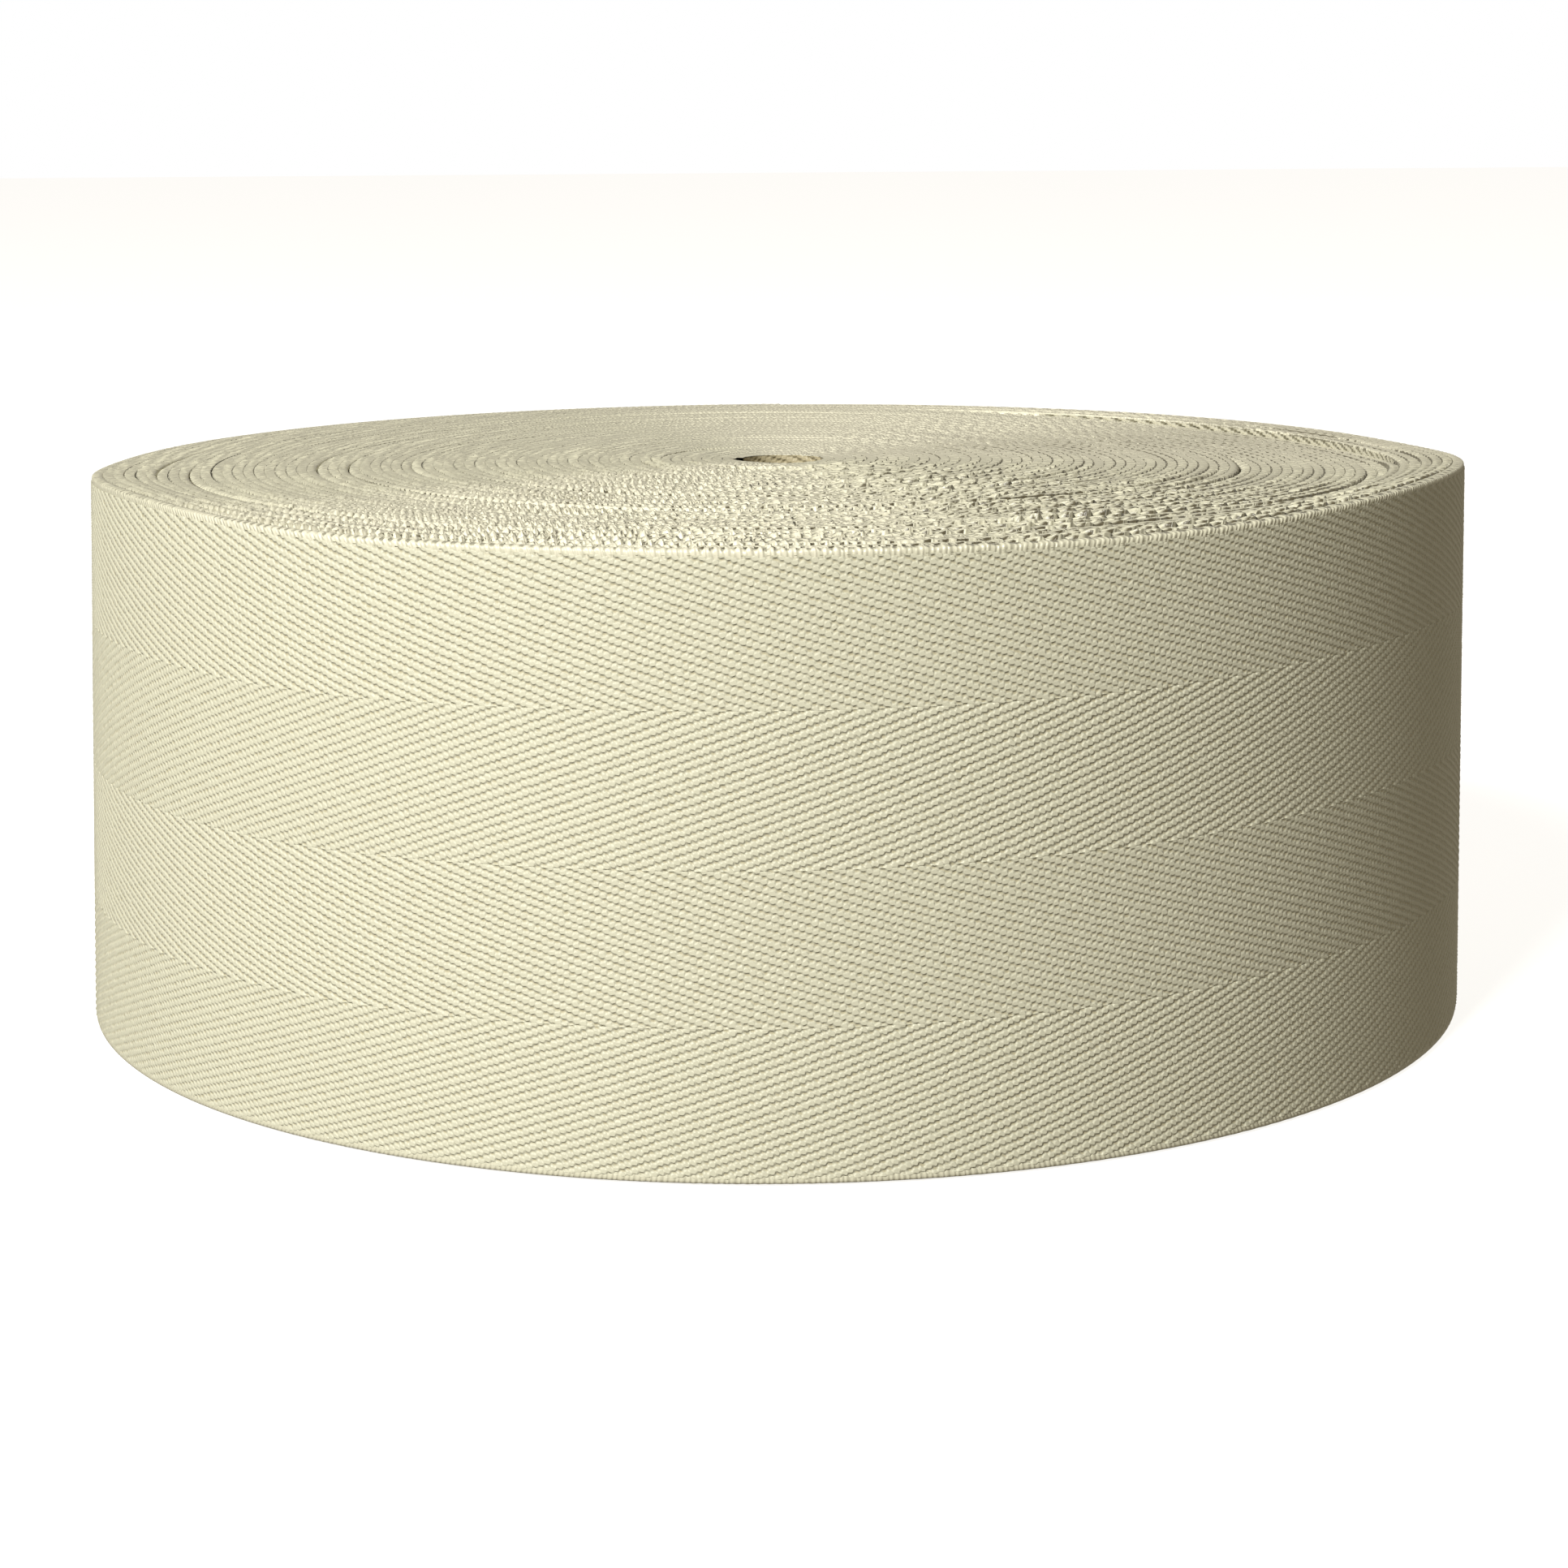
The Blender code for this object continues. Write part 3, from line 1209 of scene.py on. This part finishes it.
@dataclass
class EdgeLoops:
    """The loops that the picks make where they turn back round a selvedge.

    Beside each loop the turn's outer shoulder dips. At the right of the front the
    loops lie in pairs, with a deeper dip after each pair.
    """

    form: WoundForm
    loop: float = 0.835 * MM
    lift: float = 0.18 * MM
    slant: float = 0.35
    side_lean: float = 0.40
    steps: int = 3
    single_crest: tuple[float, ...] = (0.9, 0.3, -0.6, 0.9, 0.3, -0.6)
    single_shoulder: tuple[float, ...] = (0.9, -0.1, -1.2, 0.9, -0.1, -1.2)
    pair_crest: tuple[float, ...] = (0.8, 0.9, 0.4, -0.5, -0.6, 0.3)
    pair_shoulder: tuple[float, ...] = (0.9, 0.8, -0.1, -1.6, -1.5, 0.0)
    # The loops lie in pairs past this cosine of the azimuth, and wholly a little later
    pairs_from: float = -0.1
    pairs_over: float = 0.5
    paired_lift: float = 0.35
    # No two loops stand equally proud, and they slacken and creep along the selvedge
    proud_range: tuple[float, float] = (0.25, 1.6)
    slack: Wander = Wander(17, 9.0, 0.45)
    slack_range: tuple[float, float] = (0.3, 2.0)
    short_creep: Wander = Wander(18, 5.0, 0.30)
    long_creep: Wander = Wander(19, 31.0, 1.0)
    least_round: float = 0.06
    least_proud: float = 0.22
    more_proud: Hump = Hump(0.78, 262.0, 125.0)
    seed: int = 31

    def pairing(self, azimuth: np.ndarray) -> np.ndarray:
        """How far the loops lie in pairs, from 0 to 1, most at the right."""
        from_left = np.cos(np.radians(azimuth)) - self.pairs_from
        return smooth(from_left / self.pairs_over)

    def lifts(self, first: int, azimuth: np.ndarray, outer_share: float) -> np.ndarray:
        """Relief of the loops at their steps.

        Args:
            first: Number of the first loop.
            azimuth: Azimuth of each step, in degrees.
            outer_share: 0 on the turn's crest, 1 on its outer shoulder.

        Returns:
            The height at each step, in metres.
        """
        step = first * self.steps + np.arange(len(azimuth))
        single = np.array([self.single_crest, self.single_shoulder])
        double = np.array([self.pair_crest, self.pair_shoulder])
        size = single.shape[1]
        pair = step // size
        loop = step // self.steps
        paired = self.pairing(azimuth)
        patterns = [rows[0] + (rows[1] - rows[0]) * outer_share for rows in (single, double)]
        pattern = patterns[0][step % size] * (1.0 - paired) + patterns[1][step % size] * paired
        count = int(loop.max()) + 2
        proud = np.random.default_rng(self.seed).uniform(*self.proud_range, count)
        together = 0.5 * (proud[2 * pair] + proud[2 * pair + 1])
        mean = np.where(paired > 0.5, together, proud[loop])
        slack = np.clip(1.0 + self.slack.at(pair.astype(float)), *self.slack_range)
        return self.lift * (1.0 + self.paired_lift * paired) * pattern * mean * slack

    def sway(self, along: np.ndarray) -> np.ndarray:
        """Places of the loops once they have crept together or apart, in loops."""
        return along + self.short_creep.at(along) + self.long_creep.at(along)

    def roundness(self, azimuth: np.ndarray) -> np.ndarray:
        """How round the ridges are: pressed flat at both sides, round front and back."""
        turned = np.radians(azimuth - self.form.round_azimuth)
        return self.least_round + (1.0 - self.least_round) * np.cos(turned) ** 2

    def proudness(self, azimuth: np.ndarray) -> np.ndarray:
        """How much of the relief shows round the roll, most at the front."""
        return self.least_proud + self.more_proud.at(azimuth)


@dataclass
class UpperFace:
    """The upper selvedges of all the turns but the outermost, seen as ridges."""

    form: WoundForm
    loops: EdgeLoops
    across: tuple[float, ...] = (-0.02, 0.07, 0.50, 0.93, 1.03)
    ridge: tuple[float, ...] = (-0.20, -0.01, 0.0, -0.01, -0.22)
    loop_share: tuple[float, ...] = (0.0, 0.5, 0.9, 1.0, 0.0)
    groove_share: tuple[float, ...] = (1.0, 0.2, 0.0, 0.2, 1.0)
    # Past these shares a row lies on the turn's inner or outer shoulder
    inner_part: float = 0.2
    outer_part: float = 0.8
    shoulder_from: float = 0.4
    shoulder_over: float = 0.4
    # The turns sway in and out, and the innermost ones show less of their loops
    sway_step: float = 0.31
    sway_share: float = 0.04
    sway_seed: int = 13
    quiet_least: float = 0.2
    quiet_from: float = 0.8
    quiet_over: float = 1.2
    hole_lip: float = 0.35
    parts: int = 2

    def crown_height(self, winding: np.ndarray, across: float, sunk: float) -> np.ndarray:
        """Height of a row before its own rounding, no higher than the turn beside it.

        Args:
            winding: Winding numbers of its points.
            across: Where the row lies, from 0 at the inner face to 1 at the outer.
            sunk: How much of the groove's depth it takes.

        Returns:
            The height over the width at each point, in metres.
        """
        form = self.form
        height = form.level(winding)
        if across < self.inner_part:
            before = form.level(np.maximum(winding - 1.0, 0.0))
            before = np.where(winding >= 1.0, before, height)
            shoulder = height if across > 0.0 else np.minimum(height, before)
            return shoulder - sunk * form.groove(winding)
        if across > self.outer_part:
            after = form.level(winding + 1.0)
            shoulder = height if across < 1.0 else np.minimum(height, after)
            return shoulder - sunk * form.groove(winding + 1.0)
        return height

    def section(self, first_loop: int, last_loop: int) -> MeshParts:
        """Ridges along a stretch of the winding.

        Args:
            first_loop: Loop number where the stretch starts.
            last_loop: Loop number where it ends.

        Returns:
            The stretch's mesh parts.
        """
        form, loops = self.form, self.loops
        count = (last_loop - first_loop) * loops.steps + 1
        along = first_loop + np.arange(count) / loops.steps
        swayed = loops.sway(along)
        turned = np.radians(form.azimuth(form.winding_at(swayed * loops.loop)))
        leaning = -loops.side_lean * np.cos(turned)
        sway = Wander(self.sway_seed, self.sway_step, self.sway_share * form.pitch)
        rows, maps = [], []
        for across, ridge, share, sunk in zip(self.across, self.ridge, self.loop_share,
                                              self.groove_share):
            shifted = swayed - loops.slant * (across - 0.5) - leaning * (across > 1.0)
            winding = form.winding_at(np.maximum(shifted, 0.0) * loops.loop)
            winding = np.minimum(winding, form.winding_end - 1.0)
            azimuth = form.azimuth(winding)
            outer_share = smooth((across - self.shoulder_from) / self.shoulder_over)
            lift = loops.lifts(first_loop, azimuth, outer_share) * share
            settled = smooth((winding - self.quiet_from) / self.quiet_over)
            quiet = self.quiet_least + (1.0 - self.quiet_least) * settled
            lip = self.hole_lip + (1.0 - self.hole_lip) * smooth(winding)
            rounded = ridge * MM * loops.roundness(azimuth) * (lip if across < 0.0 else 1.0)
            proud = lift * loops.proudness(azimuth) * quiet
            height = self.crown_height(winding, across, sunk) + rounded + proud
            inner, outer = form.inner_face(winding), form.inner_face(winding + 1.0)
            radius = inner + (outer - inner) * across + sway.at(winding)
            radius = np.maximum(radius, form.hole_radius)
            rows.append(form.place(radius, azimuth, form.width + height))
            maps.append(np.stack([along, np.full_like(along, across)], axis=-1))
        made = MeshParts()
        made.add_grid(np.stack(rows, axis=1), np.stack(maps, axis=1))
        return made

    def build(self, material: bpy.types.Material) -> None:
        """Build the ridges in a few pieces.

        Args:
            material: Their finish.
        """
        form = self.form
        length = float(form.length_along(np.array([form.winding_end - 1.0]))[0])
        last = int(length / self.loops.loop) + 3
        bounds = np.linspace(0, last, self.parts + 1).astype(int)
        for number, (first, end) in enumerate(zip(bounds, bounds[1:])):
            section = self.section(int(first), int(end))
            dress(section.build(f"upper_selvedges_{number + 1}", broad=True), material)


@dataclass
class LowerFace:
    """The lower selvedges, pressed flat where the roll lies on them."""

    form: WoundForm
    across: tuple[float, ...] = (-0.06, 0.22, 0.50, 0.78, 1.06)
    ridge: tuple[float, ...] = (0.42, 0.06, 0.0, 0.06, 0.42)
    unevenness: Wander = Wander(14, 0.02, 0.04 * MM)
    step: float = 1.25 * MM
    loop: float = 0.835 * MM

    def build(self, material: bpy.types.Material) -> bpy.types.Object:
        """Build the ridges as one piece.

        Args:
            material: Their finish.

        Returns:
            The dressed piece.
        """
        form = self.form
        length = float(form.length_along(np.array([form.winding_end - 1.0]))[0])
        along = np.arange(int(length / self.step) + 2) * self.step
        winding = np.minimum(form.winding_at(along), form.winding_end - 1.0)
        uneven = np.abs(self.unevenness.at(winding))
        rows, maps = [], []
        for across, ridge in zip(self.across, self.ridge):
            inner, outer = form.inner_face(winding), form.inner_face(winding + 1.0)
            radius = np.maximum(inner + (outer - inner) * across, form.hole_radius)
            radius = form.spread(radius, np.zeros_like(radius))
            height = ridge * MM + uneven
            rows.append(form.place(radius, form.azimuth(winding), height))
            maps.append(np.stack([along / self.loop, np.full_like(along, across)], axis=-1))
        parts = MeshParts()
        parts.add_grid(np.stack(rows[::-1], axis=1), np.stack(maps[::-1], axis=1))
        return dress(parts.build("lower_selvedges"), material)


@dataclass
class RimSelvedge:
    """A selvedge of the outermost turn, rounded over from the outer face."""

    form: WoundForm
    loops: EdgeLoops
    across: tuple[float, ...] = (-0.05, 0.10, 0.50, 0.84, 0.97, 1.0, 1.0, 0.94)
    drop: tuple[float, ...] = (0.36, 0.04, 0.0, 0.05, 0.16, 0.33, 0.53, 0.80)
    loop_share: tuple[float, ...] = (0.0, 0.5, 0.8, 0.9, 0.8, 0.4, 0.1, 0.0)
    mapped: tuple[float, ...] = (0.10, 0.30, 0.76, 0.74, 0.60, 0.50, 0.45, 0.40)
    lean: tuple[float, ...] = (0.0, 0.0, 0.0, 0.0, 0.1, 0.3, 0.5, 0.5)
    bulge: float = 0.09 * MM
    bulge_from: float = 0.9
    inner_part: float = 0.2
    outer_share: float = 0.5
    lift_share: float = 0.48
    right_less: float = 0.18
    # At the right the painted slit shade stays off the rim, and below it shows none
    shaded_from: float = 0.6
    right_shift: float = 0.3
    lower_share: float = 0.2
    lower_proud: float = 0.1

    def build(self, top: bool, material: bpy.types.Material) -> bpy.types.Object:
        """Build the upper or the lower selvedge of the outermost turn.

        Args:
            top: Whether it is the upper one.
            material: Its finish.

        Returns:
            The dressed piece.
        """
        form, loops = self.form, self.loops
        pairs = round(TAU * form.roll_radius / (2.0 * loops.loop))
        count = 2 * pairs * loops.steps + 1
        along = np.arange(count) / loops.steps
        azimuth = form.outer_end + 360.0 * along / along[-1]
        winding = form.wall_winding(azimuth)
        inner, outer = form.inner_face(winding), form.inner_face(winding + 1.0)
        proud = loops.proudness(azimuth) if top else np.full(count, self.lower_proud)
        right = loops.pairing(azimuth)
        full_lift = loops.lifts(0, azimuth, self.outer_share)
        edge = form.width if top else 0.0
        side = -1.0 if top else 1.0
        rows, maps = [], []
        for across, drop, share, mapped, lean in zip(self.across, self.drop, self.loop_share,
                                                     self.mapped, self.lean):
            lift = full_lift * share * proud * (self.lift_share - self.right_less * right)
            level = form.level(winding) if top else np.zeros_like(winding)
            if top and across < 0.0:
                level = np.minimum(level, form.level(winding - 1.0)) - form.groove(winding)
            if across < self.inner_part:
                drop = drop * loops.roundness(azimuth)
            height = edge + level + side * (drop * MM - lift)
            bulge = self.bulge * lift / loops.lift * (across > self.bulge_from)
            radius = form.spread(inner + (outer - inner) * across, height) + bulge
            rows.append(form.place(radius, azimuth, height))
            leaning = lean * np.cos(np.radians(azimuth))
            if top:
                over = mapped - self.right_shift * right * (across > self.shaded_from)
            else:
                over = np.full(count, self.lower_share * mapped)
            maps.append(np.stack([along + leaning, over], axis=-1))
        if top:
            rows.reverse()
            maps.reverse()
        parts = MeshParts()
        parts.add_grid(np.stack(rows, axis=1), np.stack(maps, axis=1))
        name = "rim_selvedge_upper" if top else "rim_selvedge_lower"
        return dress(parts.build(name), material)


@dataclass
class InnerTwill:
    """The webbing's inner face where it shows: in the hole, and on the raised turns."""

    form: WoundForm
    twill: Twill
    lining_foot: float = 0.3 * MM
    lining_top: float = 0.06 * MM
    raised_arc: float = 64.0
    raised_foot: float = 0.5 * MM
    raised_top: float = 0.12 * MM
    raised_rows: int = 6
    # Keeps the last column inside its own turn
    hair: float = 1e-6

    def weave(self, winding: np.ndarray, low: np.ndarray, high: np.ndarray, rows: int,
              name: str, material: bpy.types.Material) -> bpy.types.Object:
        """Build a strip of the webbing's inner face.

        Args:
            winding: Winding numbers of its half-pick columns.
            low: Lower edge at each column.
            high: Upper edge at each column.
            rows: Number of rows of points across it.
            name: Name of the piece.
            material: Its finish.

        Returns:
            The dressed piece.
        """
        form = self.form
        share = np.linspace(0.0, 1.0, rows)
        height = low[:, None] + (high - low)[:, None] * share[None, :]
        along = np.broadcast_to(0.5 * np.arange(len(winding))[:, None], height.shape)
        across = height / self.twill.rib + self.twill.ribs_per_pick * along
        relief = self.twill.height(along, across, RibSlope.FALLING)
        radius = form.inner_face(winding)[:, None] - relief
        points = form.place(radius, form.azimuth(winding)[:, None], height)
        parts = MeshParts()
        parts.add_grid(points, np.stack([along, across], axis=-1))
        return dress(parts.build(name), material)

    def build(self, lining: bpy.types.Material, raised: bpy.types.Material) -> None:
        """Build the hole's lining and the inner side of the raised outer turns.

        Args:
            lining: Finish of the lining, the yarn darkened with painted shade.
            raised: Finish of the raised turns' inner side, the yarn darkened with painted shade.
        """
        form, twill = self.form, self.twill
        circumference = TAU * form.hole_radius
        picks = round(circumference / twill.pick)
        winding = np.linspace(0.0, 1.0, 2 * picks + 1)
        low = np.full_like(winding, self.lining_foot)
        high = form.width + form.level(winding) - self.lining_top
        rows = round(2.0 * form.width / twill.rib)
        self.weave(winding, low, high, rows, "hole_lining", lining)

        turns = self.raised_arc / 360.0
        length = TAU * float(form.inner_face(np.array([form.seam]))[0]) * turns
        count = round(2.0 * length / twill.pick)
        winding = form.seam - np.linspace(turns, 0.0, count + 1)
        low = form.width + form.level(winding - 1.0) - self.raised_foot
        high = form.width + form.level(winding) - self.raised_top
        self.weave(winding - self.hair, low, high, self.raised_rows,
                   "raised_turn_inner_side", raised)


@dataclass
class CutEnd:
    """The webbing's outer end, cut straight across."""

    form: WoundForm
    twill: Twill
    columns: int = 5
    corner: float = 0.4 * MM
    corner_inset: float = 0.45
    nap: float = 0.06 * MM

    def build(self, material: bpy.types.Material) -> bpy.types.Object:
        """Build the end's face.

        Args:
            material: Its finish.

        Returns:
            The dressed piece.
        """
        form = self.form
        rows = round(2.0 * form.width / self.twill.rib)
        share = np.linspace(0.0, 1.0, rows)
        winding = form.winding_end
        rise = float(form.level(np.array([winding]))[0])
        height = share * (form.width + rise)
        across = np.linspace(0.0, 1.0, self.columns)
        edge = np.minimum(height, form.width + rise - height)
        inset = self.corner_inset * (1.0 - smooth(edge / self.corner))
        inner = float(form.inner_face(np.array([winding]))[0])
        outer = float(form.inner_face(np.array([winding + 1.0]))[0])
        spot = 0.5 + (across[None, :] - 0.5) * (1.0 - inset[:, None])
        radius = form.spread(inner + (outer - inner) * spot, height[:, None])
        nap = self.nap * np.cos(np.pi * np.arange(rows))[:, None] * np.ones(self.columns)
        azimuth = form.outer_end - np.degrees(nap / outer)
        points = form.place(radius, azimuth, np.broadcast_to(height[:, None], radius.shape))
        mapped = np.stack([np.broadcast_to(2.0 * across[None, :], radius.shape),
                           np.broadcast_to(height[:, None] / self.twill.rib, radius.shape)], axis=-1)
        parts = MeshParts()
        parts.add_grid(points, mapped)
        return dress(parts.build("cut_end"), material)


def aim(thing: bpy.types.Object, *axes: np.ndarray) -> None:
    """Turn and place a lamp or a camera.

    Args:
        thing: The object.
        *axes: Its own right, up and back, and then where it stands.
    """
    matrix = np.eye(4)
    matrix[:3, :] = np.column_stack(axes)
    thing.matrix_world = Matrix(matrix.tolist())


@dataclass
class Studio:
    """Pale floor, soft key light from the front left, faint fill and the camera."""

    lens: float = 75.5
    sensor: float = 36.0
    shift: float = 0.0005
    distance: float = 0.3105
    height: float = 0.0825
    pitch: float = 0.203
    roll: float = -0.0072
    yaw: float = 0.0013
    key_azimuth: float = 238.0
    key_elevation: float = 34.5
    key_distance: float = 1.1
    key_size: float = 0.35
    key_power: float = 12.85
    key_colour: str = "#FFFDF8"
    back_azimuth: float = 55.0
    back_elevation: float = 0.0
    back_size: float = 0.10
    back_power: float = 2.0
    back_colour: str = "#FFF6E8"
    aimed_height: float = 0.025
    fill_strength: float = 0.205
    fill_colour: str = "#FFF1D8"
    white: str = "#FFFFFF"
    paper: str = "#F4F4F2"
    paper_roughness: float = 0.9
    paper_glow: float = 0.8
    floor_reach: float = 4.0
    floor_drop: float = 0.0002

    def camera(self) -> None:
        """Place the camera at the picture's viewing angle."""
        data = bpy.data.cameras.new("camera")
        data.lens = self.lens
        data.sensor_width = self.sensor
        data.clip_start = 0.01
        camera = bpy.data.objects.new("camera", data)
        bpy.context.scene.collection.objects.link(camera)
        forward = np.array([math.sin(self.yaw) * math.cos(self.pitch),
                            math.cos(self.yaw) * math.cos(self.pitch), -math.sin(self.pitch)])
        right = np.array([math.cos(self.yaw), -math.sin(self.yaw), 0.0])
        up = np.cross(right, forward)
        turned_right = math.cos(self.roll) * right + math.sin(self.roll) * up
        turned_up = -math.sin(self.roll) * right + math.cos(self.roll) * up
        spot = np.array([self.shift, -self.distance, self.height])
        aim(camera, turned_right, turned_up, -forward, spot)
        bpy.context.scene.camera = camera

    def lamp(self, name: str, azimuth: float, elevation: float, distance: float, size: float,
             power: float, colour: str) -> bpy.types.Object:
        """Add one soft square lamp that faces the roll.

        Args:
            name: Name of the lamp.
            azimuth: Where it stands, in degrees.
            elevation: How high it stands, in degrees.
            distance: How far from the roll.
            size: Side of the lamp.
            power: Its power in watts.
            colour: Its colour.

        Returns:
            The lamp.
        """
        data = bpy.data.lights.new(name, "AREA")
        data.size = size
        data.energy = power
        data.color = linear(colour)[:3]
        lamp = bpy.data.objects.new(name, data)
        bpy.context.scene.collection.objects.link(lamp)
        a, e = math.radians(azimuth), math.radians(elevation)
        away = np.array([math.cos(a) * math.cos(e), math.sin(a) * math.cos(e), math.sin(e)])
        side = np.array([-math.sin(a), math.cos(a), 0.0])
        spot = away * distance + np.array([0.0, 0.0, self.aimed_height])
        aim(lamp, side, np.cross(away, side), away, spot)
        return lamp

    def world(self) -> None:
        """Faint warm fill all round, behind a white backdrop."""
        world = bpy.data.worlds.new("studio")
        bpy.context.scene.world = world
        world.use_nodes = True
        tree = world.node_tree
        tree.nodes.clear()
        path = add_node(tree, "ShaderNodeLightPath")
        fill = add_node(tree, "ShaderNodeBackground", Color=linear(self.fill_colour),
                        Strength=self.fill_strength)
        white = add_node(tree, "ShaderNodeBackground", Color=linear(self.white), Strength=1.0)
        shown = add_node(tree, "ShaderNodeMixShader", in_0=path.outputs["Is Camera Ray"],
                         in_1=fill.outputs[0], in_2=white.outputs[0])
        add_node(tree, "ShaderNodeOutputWorld", Surface=shown.outputs[0])

    def floor(self) -> None:
        """White sweep under the roll, bright enough to meet the white backdrop."""
        reach = self.floor_reach
        parts = MeshParts()
        corners = np.array([[-reach, -reach, 0.0], [reach, -reach, 0.0],
                            [reach, reach, 0.0], [-reach, reach, 0.0]])
        parts.add(corners, corners[:, :2], np.array([[0, 1, 2, 3]]))
        floor = parts.build("floor")
        floor.location.z = -self.floor_drop
        material = bpy.data.materials.new("white_paper_sweep")
        material.use_nodes = True
        shader = material.node_tree.nodes["Principled BSDF"]
        shader.inputs["Base Color"].default_value = linear(self.paper)
        shader.inputs["Roughness"].default_value = self.paper_roughness
        shader.inputs["Emission Color"].default_value = linear(self.white)
        shader.inputs["Emission Strength"].default_value = self.paper_glow
        floor.data.materials.append(material)
        floor.visible_diffuse = False
        floor.visible_glossy = False

    def build(self) -> None:
        """Set up the camera, the lamps, the backdrop and the floor."""
        self.camera()
        self.lamp("key_light", self.key_azimuth, self.key_elevation, self.key_distance,
                  self.key_size, self.key_power, self.key_colour)
        back = self.lamp("back_fill", self.back_azimuth, self.back_elevation,
                         self.key_distance, self.back_size, self.back_power, self.back_colour)
        back.visible_glossy = False
        self.world()
        self.floor()
        bpy.context.scene.view_settings.view_transform = "Standard"


def main() -> None:
    """Load the frame, build the roll and the studio, and note the sizes."""
    logging.basicConfig(level=logging.INFO, format="%(name)s: %(message)s")
    form = WoundForm()
    twill = Twill()
    loops = EdgeLoops(form)
    falling = TwillFinish("twill_woven_yarn_falling_ribs", RibSlope.FALLING).build()
    rising = TwillFinish("twill_woven_yarn_rising_ribs", RibSlope.RISING).build()
    selvedge = SelvedgeFinish().build()
    # Darker copies of the cream yarn, painted shade: inside the hole, and on the raised turns' inner
    # side, which faces the key light
    lining = TwillFinish("inner_face_woven_yarn_in_the_hole", RibSlope.FALLING,
                         yarn="#C6BC9B", gap="#A09573").build()
    raised = TwillFinish("inner_face_woven_yarn_raised_turns", RibSlope.FALLING,
                         yarn="#D2CFBB", gap="#79745E", twill_shade_reach=0.25).build()

    OuterFace(form, twill).build(falling, rising)
    UpperFace(form, loops).build(selvedge)
    rim = RimSelvedge(form, loops)
    rim.build(True, selvedge)
    rim.build(False, selvedge)
    LowerFace(form).build(selvedge)
    InnerTwill(form, twill).build(lining, raised)
    CutEnd(form, twill).build(selvedge)
    Studio().build()


if __name__ == "__main__":
    main()
